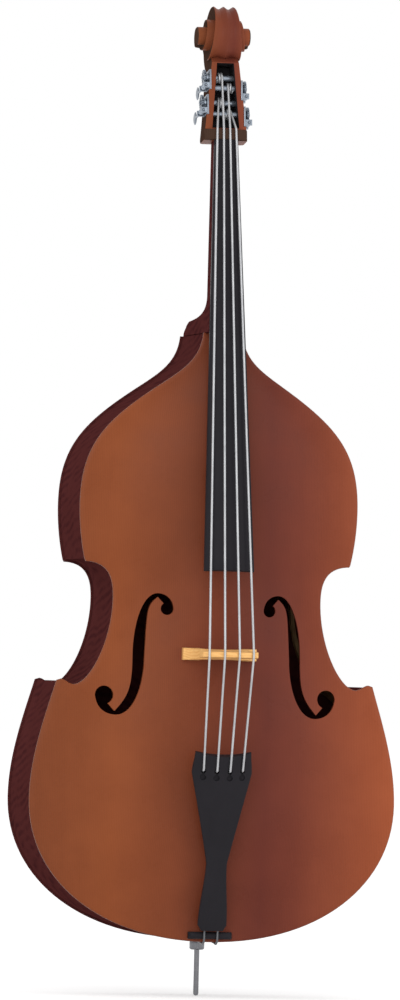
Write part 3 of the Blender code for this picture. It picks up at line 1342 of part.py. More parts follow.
def make_endpin():
    """Collar with its plug, the sliding rod and the thumbscrew that clamps it."""
    low = ENDPIN_REACH
    flange = low + COLLAR_FLANGE
    neck = flange + COLLAR_NECK - GAP
    top = neck + PLUG_LENGTH
    bore = ENDPIN_RADIUS + RUN
    profile = [(low, bore), (low, COLLAR_RADIUS - COLLAR_BEVEL), (low + COLLAR_BEVEL, COLLAR_RADIUS),
               (flange, COLLAR_RADIUS), (flange, COLLAR_NECK_RADIUS), (neck, COLLAR_NECK_RADIUS),
               (neck, PLUG_RADIUS), (top, PLUG_RADIUS - 0.001), (top, bore)]
    collar = solid("endpin_collar", loft(turned(profile, "Z"), closed=True), "endpin_steel")
    middle = low + (COLLAR_FLANGE + COLLAR_BEVEL) / 2
    hole = loft(turned([(0, THUMB_SHANK + RUN), (2 * COLLAR_RADIUS, THUMB_SHANK + RUN)], "Y", 12))
    bmesh.ops.translate(hole, verts=hole.verts, vec=(0, 0, middle))
    combine(collar, helper(hole, "thumbscrew_cutter"))
    profile = [(0, ENDPIN_RADIUS - 0.0015), (ENDPIN_TIP, ENDPIN_RADIUS),
               (top + ENDPIN_INSIDE - ENDPIN_TIP, ENDPIN_RADIUS), (top + ENDPIN_INSIDE, ENDPIN_RADIUS - 0.0015)]
    solid("endpin_rod", loft(turned(profile, "Z")), "endpin_steel")
    head = COLLAR_RADIUS + GAP
    profile = [(ENDPIN_RADIUS + GAP, THUMB_SHANK), (head, THUMB_SHANK), (head, THUMB_RADIUS - 0.001),
               (head + 0.001, THUMB_RADIUS), (head + THUMB_LENGTH - 0.001, THUMB_RADIUS),
               (head + THUMB_LENGTH, THUMB_RADIUS - 0.001)]
    screw = solid("endpin_thumbscrew", loft(turned(profile, "Y", 12)), "endpin_steel")
    screw.location = (0, 0, middle)


def main():
    clear_scene()
    front_tree, back_tree = make_plates()
    plug_hole = make_ribs()
    room = make_linings()
    make_blocks(room, plug_hole)
    make_bar_and_post(front_tree, back_tree)
    neck_frame = frame_empty("neck_frame", NECK_ORIGIN, (-NECK_TILT, 0, 0))
    make_neck()
    make_fingerboard(neck_frame)
    make_nut(neck_frame)
    make_head(neck_frame)
    for letter in STRING_ORDER:
        make_base(letter, neck_frame)
        axis = make_roller(letter, neck_frame)
        make_worm(letter, neck_frame)
        make_string(letter)
        make_winding(letter, axis)
    make_bridge(front_tree)
    start, turn = tail_frame()
    make_tailpiece(frame_empty("tail_frame", start, (turn, 0, 0)))
    make_tail_wire()
    make_saddle()
    make_endpin()


if __name__ == "__main__":
    main()
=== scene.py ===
"""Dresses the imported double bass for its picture.

Metres, in the part's own frame: +Z up, front to -Y, +X to the right seen from the front,
origin at the tip of the endpin. Each sub-assembly is a class that builds its visible
pieces on the solids it stands for.
"""

import logging
import math
from dataclasses import dataclass
from enum import Enum
from typing import Callable, Optional, Sequence

import bmesh
import bpy
from mathutils import Matrix, Vector


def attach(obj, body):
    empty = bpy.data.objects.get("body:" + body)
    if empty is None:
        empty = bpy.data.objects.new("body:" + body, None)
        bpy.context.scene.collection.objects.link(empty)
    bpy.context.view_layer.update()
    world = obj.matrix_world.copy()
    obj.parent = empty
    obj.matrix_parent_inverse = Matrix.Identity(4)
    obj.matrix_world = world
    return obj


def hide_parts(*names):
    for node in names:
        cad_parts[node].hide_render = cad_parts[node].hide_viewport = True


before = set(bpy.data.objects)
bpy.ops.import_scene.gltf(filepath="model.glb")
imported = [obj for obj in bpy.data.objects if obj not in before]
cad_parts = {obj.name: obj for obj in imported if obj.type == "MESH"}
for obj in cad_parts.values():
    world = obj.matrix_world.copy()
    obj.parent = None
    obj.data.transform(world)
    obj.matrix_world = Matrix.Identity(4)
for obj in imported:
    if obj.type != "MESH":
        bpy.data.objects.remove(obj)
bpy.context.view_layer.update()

LOG = logging.getLogger("double_bass")
Shape = bmesh.types.BMesh
Piece = bpy.types.Object
Socket = bpy.types.NodeSocket
Ring = list[Vector]
Flat = tuple[float, float]
Triple = tuple[float, float, float]
Colour = Triple

GAP = 0.0003
RUN = 0.0004
MERGE = 1e-6
SHARP = 35.0
ROUND_SHARP = 50.0
LETTERS = ("e", "a", "d", "g")
BODY_LOW = 0.100
PLATE_PLANE = 0.1083
PLATE_THICK = 0.007


class Axis(Enum):
    """Axis that a turned shape is made round."""

    X = 0
    Y = 1
    Z = 2


class Side(Enum):
    """Side of the body, seen from the front."""

    LEFT = -1
    RIGHT = 1


class Tool(Enum):
    """What a tool shape does to a piece."""

    CUT = "DIFFERENCE"
    JOIN = "UNION"


Step = tuple[Tool, Shape]


def evenly(first: float, last: float, count: int) -> list[float]:
    """Values in even steps from the first to the last, with both."""
    return [first + (last - first) * i / count for i in range(count + 1)]


def bezier(steps: int, *spots: Flat) -> list[Flat]:
    """Points of one cubic curve, with both ends.

    Args:
        steps: Number of pieces that the curve is cut into.
        spots: Its start, its two handles and its end.

    Returns:
        steps + 1 points.
    """
    points = []
    for t in evenly(0, 1, steps):
        weights = ((1 - t) ** 3, 3 * t * (1 - t) ** 2, 3 * t * t * (1 - t), t**3)
        points.append(tuple(sum(w * p[k] for w, p in zip(weights, spots)) for k in (0, 1)))
    return points


def between(stops: Sequence[Flat], place: float) -> Triple:
    """Finds a place in a table.

    Args:
        stops: (place, value) pairs in order.
        place: The place, not past the last one.

    Returns:
        The value before it, the value after it and the share of the way from one to the other.
    """
    (start, before), (end, after) = next(pair for pair in zip(stops, stops[1:]) if place <= pair[1][0])
    return before, after, (place - start) / (end - start)


def chain(*runs: Sequence[Flat]) -> list[Flat]:
    """Joins runs of points that share their end points."""
    return list(runs[0]) + [point for run in runs[1:] for point in run[1:]]


def smooth_step(share: float) -> float:
    """Eases a share of 0 to 1 in and out."""
    return share * share * (3 - 2 * share)


def held(value: float) -> float:
    """Holds a value between 0 and 1."""
    return min(max(value, 0.0), 1.0)


def mirrored(half: Sequence[tuple]) -> list[tuple]:
    """A closed outline from its right half, whose ends lie on the middle line."""
    return list(half) + [(-point[0], *point[1:]) for point in reversed(half[1:-1])]


def spots_on(angles: Sequence[float], radius: float, u: float = 0.0, v: float = 0.0) -> list[Flat]:
    """Points of a circle at given angles round a centre."""
    return [(u + radius * math.cos(a), v + radius * math.sin(a)) for a in angles]


def circle(radius: float, count: int) -> list[Flat]:
    """Points of a circle round the origin."""
    return spots_on(evenly(0, math.tau, count)[:-1], radius)


def skin(shape: Shape, rows: Sequence[Sequence[bmesh.types.BMVert]], closed: bool = True) -> None:
    """Adds faces between rows of points.

    Args:
        shape: Shape that holds the points.
        rows: Rows of equally many points.
        closed: Whether each row closes on itself.
    """
    for one, two in zip(rows, rows[1:]):
        for i in range(len(one) if closed else len(one) - 1):
            j = (i + 1) % len(one)
            corners = list(dict.fromkeys((one[i], one[j], two[j], two[i])))
            if len(corners) > 2:
                shape.faces.new(corners)


def loft(rings: Sequence[Ring], closed: bool = False) -> Shape:
    """Skins rings of points in order, with end caps unless the run is closed.

    Args:
        rings: Rings of equally many points.
        closed: Whether the last ring joins the first.

    Returns:
        The shape.
    """
    shape = bmesh.new()
    rows = [[shape.verts.new(point) for point in ring] for ring in rings]
    skin(shape, rows + rows[:1] if closed else rows)
    if not closed:
        shape.faces.new(list(reversed(rows[0])))
        shape.faces.new(rows[-1])
    return shape


def turned(profile: Sequence[Flat], axis: Axis, count: int, centre: Vector = Vector(), closed: bool = False) -> Shape:
    """A turned shape.

    Args:
        profile: (place along the axis, radius) pairs.
        axis: Axis that the shape is turned round.
        count: Points round a ring.
        centre: Point that the places are measured from.
        closed: Whether the profile closes on itself.

    Returns:
        The shape.
    """
    rings = []
    for along, radius in profile:
        spots = [[u, v] for u, v in circle(radius, count)]
        for spot in spots:
            spot.insert(axis.value, along)
        rings.append([centre + Vector(spot) for spot in spots])
    return loft(rings, closed)


def box_shape(low: Vector, high: Vector) -> Shape:
    """A box between two corners."""
    ring = [(low.x, low.y), (high.x, low.y), (high.x, high.y), (low.x, high.y)]
    return loft([[Vector((x, y, z)) for x, y in ring] for z in (low.z, high.z)])


def slab(loops: Sequence[Sequence[Flat]], place: Callable[[float, float, float], Vector], low: float,
         high: float) -> Shape:
    """Extrudes a flat region with holes.

    Args:
        loops: The region's edge, then its holes.
        place: Turns a point of the region and a depth into a point in space.
        low: Depth of one face.
        high: Depth of the other face.

    Returns:
        The closed shape.
    """
    shape = bmesh.new()
    edges = []
    for loop in loops:
        verts = [shape.verts.new(place(u, v, low)) for u, v in loop]
        edges += [shape.edges.new((a, b)) for a, b in zip(verts, verts[1:] + verts[:1])]
    filled = bmesh.ops.triangle_fill(shape, edges=edges, use_beauty=True)
    faces = [item for item in filled["geom"] if isinstance(item, bmesh.types.BMFace)]
    grown = bmesh.ops.extrude_face_region(shape, geom=faces, use_keep_orig=True)
    moved = [item for item in grown["geom"] if isinstance(item, bmesh.types.BMVert)]
    bmesh.ops.translate(shape, verts=moved, vec=place(0, 0, high) - place(0, 0, low))
    return shape


def cord(points: Sequence[Vector], radius: float, count: int) -> Shape:
    """A round cord along points, carried without twist.

    Args:
        points: The cord's centre line.
        radius: Its radius.
        count: Points round a ring.

    Returns:
        The shape.
    """
    rings = []
    normal = None
    for i, point in enumerate(points):
        along = (points[min(i + 1, len(points) - 1)] - points[max(i - 1, 0)]).normalized()
        normal = normal or along.orthogonal().normalized()
        normal = (normal - along * normal.dot(along)).normalized()
        across = along.cross(normal)
        rings.append([point + normal * u + across * v for u, v in circle(radius, count)])
    return loft(rings)


def shaded(mesh: bpy.types.Mesh, sharp: float) -> None:
    """Shades a mesh smooth, with edges over an angle in degrees left sharp."""
    mesh.shade_smooth()
    mesh.set_sharp_from_angle(angle=math.radians(sharp))


def to_mesh(name: str, shape: Shape, place: Optional[Matrix] = None) -> Piece:
    """Makes a smooth-shaded object of a closed shape.

    Args:
        name: The object's name.
        shape: The shape, which is freed.
        place: Frame that the shape was made in, or None for the part's own.

    Returns:
        The object, linked to the scene.
    """
    if place is not None:
        bmesh.ops.transform(shape, matrix=place, verts=shape.verts)
    bmesh.ops.remove_doubles(shape, verts=shape.verts, dist=MERGE)
    bmesh.ops.recalc_face_normals(shape, faces=shape.faces)
    if shape.calc_volume(signed=True) < 0:
        bmesh.ops.reverse_faces(shape, faces=shape.faces)
    made = bpy.data.objects.new(name, bpy.data.meshes.new(name))
    shape.to_mesh(made.data)
    shape.free()
    shaded(made.data, SHARP)
    bpy.context.scene.collection.objects.link(made)
    return made


def applied(target: Piece, sharp: float) -> None:
    """Turns an object's modifiers into its mesh.

    Args:
        target: The object.
        sharp: Angle in degrees over which an edge stays sharp.
    """
    bpy.context.view_layer.update()
    graph = bpy.context.evaluated_depsgraph_get()
    mesh = bpy.data.meshes.new_from_object(target.evaluated_get(graph))
    target.modifiers.clear()
    target.data = mesh
    shaded(mesh, sharp)


def carved(target: Piece, steps: Sequence[Step], place: Optional[Matrix] = None, sharp: float = SHARP) -> None:
    """Cuts or joins shapes into a target, one after the other.

    Args:
        target: The object to change.
        steps: What to do and the shape to do it with.
        place: Frame that the shapes were made in, or None for the part's own.
        sharp: Angle in degrees over which an edge stays sharp.
    """
    tools = []
    for action, shape in steps:
        step = target.modifiers.new("carving", "BOOLEAN")
        step.operation = action.value
        step.object = to_mesh("tool", shape, place)
        step.solver = "EXACT"
        step.use_self = True
        tools.append(step.object)
    applied(target, sharp)
    for tool in tools:
        bpy.data.objects.remove(tool)


def rounded(target: Piece, width: float, segments: int, angle: float) -> None:
    """Rounds an object's sharp edges.

    Args:
        target: The object.
        width: Width of the rounding.
        segments: Facets across it.
        angle: Edges sharper than this, in degrees, are rounded.
    """
    step = target.modifiers.new("rounding", "BEVEL")
    step.width = width
    step.segments = segments
    step.limit_method = "ANGLE"
    step.angle_limit = math.radians(angle)
    step.use_clamp_overlap = True
    applied(target, ROUND_SHARP)


def dress(piece: Piece, finish: "Finish", body: str, *nodes: str) -> Piece:
    """Gives a piece its finish, its body and the solids that it stands for.

    Args:
        piece: The visible piece.
        finish: Its finish.
        body: The body that it rides on.
        nodes: Solids that it replaces.

    Returns:
        The piece.
    """
    piece.data.materials.clear()
    piece.data.materials.append(finish.material())
    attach(piece, body)
    if nodes:
        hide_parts(*nodes)
    LOG.info("%s rides on %s, %d faces", piece.name, body, len(piece.data.polygons))
    return piece


def finished(name: str, shape: Shape, finish: "Finish", body: str, *nodes: str, place: Optional[Matrix] = None,
             steps: Sequence[Step] = (), edge: float = 0.0, facets: int = 2, angle: float = ROUND_SHARP) -> Piece:
    """Builds, carves, rounds and dresses one visible piece.

    Args:
        name: The piece's name.
        shape: Its main shape.
        finish: Its finish.
        body: The body that it rides on.
        nodes: Solids that it replaces.
        place: Frame that its shapes were made in, or None for the part's own.
        steps: Shapes that are joined to it or cut from it.
        edge: Width of its rounded edges, or 0.
        facets: Facets across a rounded edge.
        angle: Edges sharper than this, in degrees, are rounded.

    Returns:
        The piece.
    """
    made = to_mesh(name, shape, place)
    if steps:
        carved(made, steps, place)
    if edge:
        rounded(made, edge, facets, angle)
    return dress(made, finish, body, *nodes)


class Wiring:
    """Adds nodes to one shader tree and joins them."""

    def __init__(self, tree: bpy.types.NodeTree) -> None:
        """Keeps the tree that the nodes go into."""
        self.tree = tree

    def add(self, kind: str, settings: Optional[dict[str, object]] = None, **inputs: object) -> bpy.types.Node:
        """Adds a node.

        Args:
            kind: The node's type.
            settings: Properties of the node.
            inputs: Values or sockets for its inputs, with _ for a space in a name.

        Returns:
            The node.
        """
        node = self.tree.nodes.new(kind)
        for key, value in (settings or {}).items():
            setattr(node, key, value)
        for key, value in inputs.items():
            self.feed(node.inputs[key.replace("_", " ")], value)
        return node

    def feed(self, socket: Socket, value: object) -> None:
        """Links a socket to an input, or sets the input's value.

        Args:
            socket: The input.
            value: A socket or a plain value.
        """
        if isinstance(value, Socket):
            self.tree.links.new(value, socket)
        else:
            socket.default_value = value

    def feed_all(self, node: bpy.types.Node, *values: object) -> Socket:
        """Feeds a node's inputs in order.

        Args:
            node: The node.
            values: Values or sockets for its first inputs.

        Returns:
            Its first output.
        """
        for socket, value in zip(node.inputs, values):
            self.feed(socket, value)
        return node.outputs[0]

    def maths(self, operation: str, *values: object) -> Socket:
        """One step of arithmetic with numbers or sockets."""
        return self.feed_all(self.add("ShaderNodeMath", {"operation": operation}), *values)

    def weighted(self, *terms: tuple[object, float]) -> Socket:
        """Sum of values times their weights.

        Args:
            terms: Value and weight pairs.

        Returns:
            The sum.
        """
        total = 0.0
        for value, weight in terms:
            total = self.maths("MULTIPLY_ADD", value, weight, total)
        return total

    def wave(self, value: object, scale: object) -> Socket:
        """A wave of 0 to 1 with a number of crests to a metre."""
        phase = self.maths("MULTIPLY", self.maths("MULTIPLY", value, scale), math.tau)
        return self.maths("MULTIPLY_ADD", self.maths("SINE", phase), 0.5, 0.5)

    def spread(self, value: object, low: float, high: float, to_low: float = 0.0, to_high: float = 1.0) -> Socket:
        """Maps a range of values to another range, held at its ends."""
        return self.feed_all(self.add("ShaderNodeMapRange"), value, low, high, to_low, to_high)

    def noise(self, vector: object, scale: object, detail: float, rough: float = 0.55) -> Socket:
        """A soft noise of about 0.2 to 0.8."""
        node = self.add("ShaderNodeTexNoise", None, Vector=vector, Scale=scale, Detail=detail, Roughness=rough)
        return node.outputs["Fac"]

    def veins(self, vector: Socket, stretch: Colour, detail: float = 2.0) -> Socket:
        """A noise that is drawn out along the axes."""
        drawn = self.add("ShaderNodeMapping", None, Vector=vector, Scale=stretch)
        return self.noise(drawn.outputs["Vector"], 1.0, detail)

    def parted(self, vector: Socket) -> list[Socket]:
        """The three parts of a place."""
        return list(self.add("ShaderNodeSeparateXYZ", None, Vector=vector).outputs)

    def tint(self, factor: object, first: object, second: object, blend: str = "MIX") -> Socket:
        """Mixes two colours.

        Args:
            factor: Share of the second colour.
            first: First colour or its socket.
            second: Second colour or its socket.
            blend: How they mix.

        Returns:
            The mixed colour.
        """
        node = self.add("ShaderNodeMix", {"data_type": "RGBA", "blend_type": blend})
        for index, value in ((0, factor), (6, first), (7, second)):
            self.feed(node.inputs[index], (*value, 1.0) if isinstance(value, tuple) else value)
        return node.outputs[2]

    def grain(self, spot: Socket, scale: Socket) -> tuple[Socket, Socket]:
        """Year rings and pores of wood that runs along Z, with scale rings to a metre.

        Args:
            spot: Place on the piece.
            scale: Rings to a metre.

        Returns:
            Shade and height.
        """
        x, y, _ = self.parted(spot)
        across = self.weighted((x, 1.0), (y, 0.35), (self.veins(spot, (6.0, 6.0, 1.6)), 0.02))
        ring = self.maths("POWER", self.maths("FRACT", self.maths("MULTIPLY", across, scale)), 3.0)
        pores = self.veins(spot, (900.0, 900.0, 22.0))
        broad = self.veins(spot, (26.0, 26.0, 1.2), 3.0)
        return self.weighted((ring, 0.45), (pores, 0.3), (broad, 0.3)), self.weighted((ring, 0.6), (pores, -1.0))

    def flame(self, spot: Socket, scale: Socket) -> tuple[Socket, Socket]:
        """Wavy bands across maple.

        Args:
            spot: Place on the piece.
            scale: Bands to a metre.

        Returns:
            Shade and height.
        """
        x, y, z = self.parted(spot)
        along = self.weighted((z, 1.0), (x, 0.22), (y, 0.22), (self.veins(spot, (9.0, 9.0, 7.0), 3.0), 0.05))
        mask = self.spread(self.veins(spot, (14.0, 14.0, 30.0)), 0.35, 0.65)
        fine = self.veins(spot, (500.0, 500.0, 16.0))
        band = self.maths("MULTIPLY", self.wave(along, scale), mask)
        return self.weighted((band, 0.75), (fine, 0.35)), fine

    def wear(self, spot: Socket, scale: Socket) -> tuple[Socket, Socket]:
        """Hand marks and dulled patches, with scale patches to a metre."""
        patch = self.noise(spot, scale, 4.0, 0.6)
        return self.spread(patch, 0.42, 0.68), patch

    def brushed(self, spot: Socket, scale: Socket) -> tuple[Socket, Socket]:
        """Fine turning and polishing streaks on metal, dulled in scale patches to a metre."""
        streak = self.veins(spot, (160.0, 160.0, 2600.0))
        return self.weighted((streak, 0.5), (self.noise(spot, scale, 3.0), 0.5)), streak

    def wound(self, spot: Socket, scale: Socket) -> tuple[Socket, Socket]:
        """The close turns of flat wire round a string, with scale turns to a metre."""
        turn = self.wave(self.parted(spot)[2], scale)
        return self.weighted((turn, 0.35), (self.noise(spot, 30.0, 3.0), 0.65)), turn


class Pattern(Enum):
    """Patterns of a surface, each one shader node group."""

    GRAIN = "grain"
    FLAME = "flame"
    WEAR = "wear"
    BRUSHED = "brushed"
    WOUND = "wound"

    def group(self) -> bpy.types.NodeTree:
        """The pattern's node group, made on its first use.

        Returns:
            The group.
        """
        known = bpy.data.node_groups.get(self.value)
        if known:
            return known
        group = bpy.data.node_groups.new(self.value, "ShaderNodeTree")
        group.interface.new_socket("Vector", in_out="INPUT", socket_type="NodeSocketVector")
        group.interface.new_socket("Scale", in_out="INPUT", socket_type="NodeSocketFloat")
        for label in ("Shade", "Height"):
            group.interface.new_socket(label, in_out="OUTPUT", socket_type="NodeSocketFloat")
        wiring = Wiring(group)
        fills = (wiring.grain, wiring.flame, wiring.wear, wiring.brushed, wiring.wound)
        fill = dict(zip(Pattern, fills))[self]
        source = wiring.add("NodeGroupInput").outputs
        shade, height = fill(source["Vector"], source["Scale"])
        wiring.add("NodeGroupOutput", None, Shade=shade, Height=height)
        return group

    def node(self, wiring: Wiring, spot: Socket, scale: float) -> bpy.types.Node:
        """The pattern in a material."""
        return wiring.add("ShaderNodeGroup", {"node_tree": self.group()}, Vector=spot, Scale=scale)


def from_srgb(*channels: int) -> Colour:
    """Turns a colour of 0 to 255 as seen on a screen into linear light."""
    shares = [value / 255 for value in channels]
    return tuple(s / 12.92 if s <= 0.04045 else ((s + 0.055) / 1.055) ** 2.4 for s in shares)


@dataclass(frozen=True)
class Finish:
    """A surface: its slot, its colours, its pattern and its sheen."""

    name: str
    slot: str
    light: Colour
    dark: Colour
    pattern: Pattern
    scale: float
    roughness: float
    roughness_spread: float = 0.12
    metallic: float = 0.0
    specular: float = 0.0
    bump: float = 0.2
    bump_depth: float = 0.0002
    contrast: Flat = (0.25, 0.85)
    wear_scale: float = 9.0
    wear_share: float = 0.06

    def base(self, wiring: Wiring, spot: Socket, shade: Socket) -> Socket:
        """The surface's colour, between its light and its dark one."""
        return wiring.tint(wiring.spread(shade, *self.contrast), self.light, self.dark)

    def material(self) -> bpy.types.Material:
        """The finish as a material, made on its first use.

        Returns:
            The material.
        """
        known = bpy.data.materials.get(f"{self.name}_dressed")
        if known:
            return known
        made = bpy.data.materials.new(f"{self.name}_dressed")
        made.use_nodes = True
        wiring = Wiring(made.node_tree)
        spot = wiring.add("ShaderNodeTexCoord").outputs["Object"]
        pattern = self.pattern.node(wiring, spot, self.scale).outputs
        worn = Pattern.WEAR.node(wiring, spot, self.wear_scale).outputs["Shade"]
        colour = self.base(wiring, spot, pattern["Shade"])
        half = self.roughness_spread / 2
        bump = wiring.add("ShaderNodeBump", None, Strength=self.bump, Distance=self.bump_depth,
                          Height=pattern["Height"])
        values = {"Base Color": wiring.tint(self.wear_share, colour, worn, "SOFT_LIGHT"),
                  "Roughness": wiring.spread(worn, 0.0, 1.0, self.roughness - half, self.roughness + half),
                  "Normal": bump.outputs["Normal"], "Metallic": self.metallic, "Specular IOR Level": self.specular}
        for label, value in values.items():
            wiring.feed(made.node_tree.nodes["Principled BSDF"].inputs[label], value)
        return made


@dataclass(frozen=True)
class PaintedShadeVarnish(Finish):
    """Varnish whose painted shade and highlight change across the instrument's width; its colours are the shares that
    the grain leaves.
    """

    stops: tuple[tuple[float, Colour], ...] = ()
    reach: float = 0.34

    def base(self, wiring: Wiring, spot: Socket, shade: Socket) -> Socket:
        """The painted shade and highlight at the place across the width, darkened by the grain.

        Args:
            wiring: Adds the nodes.
            spot: Place on the piece.
            shade: The grain.

        Returns:
            The colour.
        """
        share = wiring.spread(wiring.parted(spot)[0], -self.reach, self.reach)
        ramp = wiring.add("ShaderNodeValToRGB", None, Fac=share)
        points = ramp.color_ramp.elements
        while len(points) < len(self.stops):
            points.new(0.5)
        for point, (place, colour) in zip(points, self.stops):
            point.position = (place + self.reach) / (2 * self.reach)
            point.color = (*colour, 1.0)
        return wiring.tint(1.0, ramp.outputs["Color"], super().base(wiring, spot, shade), "MULTIPLY")


# Painted shade and highlight: colour stops across the width, darkest just right of the middle and lightest at the
# right edge, stand in for light and shade on the arched front and on the scroll.
FRONT_PAINTED_SHADING = (
    (-0.330, from_srgb(131, 73, 46)), (-0.185, from_srgb(145, 80, 48)), (-0.060, from_srgb(130, 70, 47)),
    (0.020, from_srgb(118, 61, 46)), (0.091, from_srgb(108, 54, 45)), (0.150, from_srgb(120, 61, 48)),
    (0.240, from_srgb(145, 77, 54)), (0.335, from_srgb(166, 89, 58)),
)
HEAD_PAINTED_SHADING = (
    (-0.050, from_srgb(136, 76, 47)), (-0.010, from_srgb(120, 62, 46)), (0.014, from_srgb(110, 55, 46)),
    (0.050, from_srgb(152, 81, 55)),
)

# The front's and the head's varnish carry the painted shade and highlight of the stops above, times their grain.
FRONT_VARNISH_PAINTED_SHADING = PaintedShadeVarnish("front_varnish", "spruce_varnish", (1.00, 0.93, 0.85), (0.79, 0.72, 0.64), Pattern.GRAIN,
                              330.0, 0.34, 0.14, specular=0.08, bump=0.25, bump_depth=0.00012, stops=FRONT_PAINTED_SHADING)
HEAD_VARNISH_PAINTED_SHADING = PaintedShadeVarnish("head_varnish", "head_varnish", (1.07, 1.05, 0.96), (0.88, 0.84, 0.76), Pattern.GRAIN,
                             420.0, 0.36, 0.14, specular=0.06, bump_depth=0.0001, stops=HEAD_PAINTED_SHADING, reach=0.05)
# Painted shade: the dark brown on the head's sides, its back and the scroll's far turns.
HEAD_SHADOW = Finish("head_side_varnish", "head_varnish", from_srgb(78, 57, 47), from_srgb(64, 46, 39), Pattern.GRAIN,
                     240.0, 0.42)
# Black lining of the pegbox's slot, which is also painted shade in its recess.
SLOT_BLACK_AND_SHADE = Finish("slot_black", "head_varnish", from_srgb(44, 41, 43), from_srgb(33, 31, 33), Pattern.GRAIN,
                    420.0, 0.55, specular=0.08, bump=0.25)
RIB_VARNISH = Finish("rib_varnish", "rib_varnish", from_srgb(87, 43, 42), from_srgb(73, 35, 36), Pattern.FLAME,
                     62.0, 0.36, 0.14, bump=0.12, bump_depth=0.0001)
# Painted shade: the nut bar's dark brown stands in for the shade under the pegbox's lower end.
CHIN_PAINTED_SHADE = Finish("chin_wood", "chin_wood", from_srgb(77, 57, 47), from_srgb(63, 46, 38), Pattern.GRAIN, 380.0, 0.42)
BARE_SPRUCE = Finish("bare_spruce", "bare_spruce", from_srgb(206, 168, 120), from_srgb(158, 118, 78), Pattern.GRAIN,
                     300.0, 0.7, 0.15, specular=0.2, bump=0.35, bump_depth=0.0003)
EBONY = Finish("ebony", "ebony", from_srgb(43, 41, 45), from_srgb(33, 32, 35), Pattern.GRAIN, 700.0, 0.42, 0.16,
               specular=0.05, bump=0.18, bump_depth=0.0001)
BRIDGE_MAPLE = Finish("bridge_maple", "bridge_maple", from_srgb(250, 196, 124), from_srgb(236, 176, 104),
                      Pattern.FLAME, 180.0, 0.5, 0.15, specular=0.2)
STRING_WIRE = Finish("string_wire", "string_wire", from_srgb(196, 197, 199), from_srgb(158, 158, 161), Pattern.WOUND,
                     900.0, 0.38, 0.1, metallic=0.6, specular=0.4, bump=0.4)
TUNER_STEEL = Finish("tuner_steel", "tuner_steel", from_srgb(150, 158, 168), from_srgb(104, 112, 122), Pattern.BRUSHED,
                     60.0, 0.34, 0.16, metallic=0.85, specular=0.4, bump=0.1, bump_depth=0.00005)
ENDPIN_STEEL = Finish("endpin_steel", "endpin_steel", from_srgb(140, 141, 145), from_srgb(104, 105, 109),
                      Pattern.BRUSHED, 60.0, 0.34, 0.14, metallic=0.8, specular=0.4, bump=0.1, bump_depth=0.00005)
TAIL_CABLE = Finish("tail_cable", "tail_cable", from_srgb(118, 119, 122), from_srgb(78, 79, 82), Pattern.WOUND,
                    520.0, 0.42, metallic=0.7, specular=0.4, bump=0.5, bump_depth=0.0003)


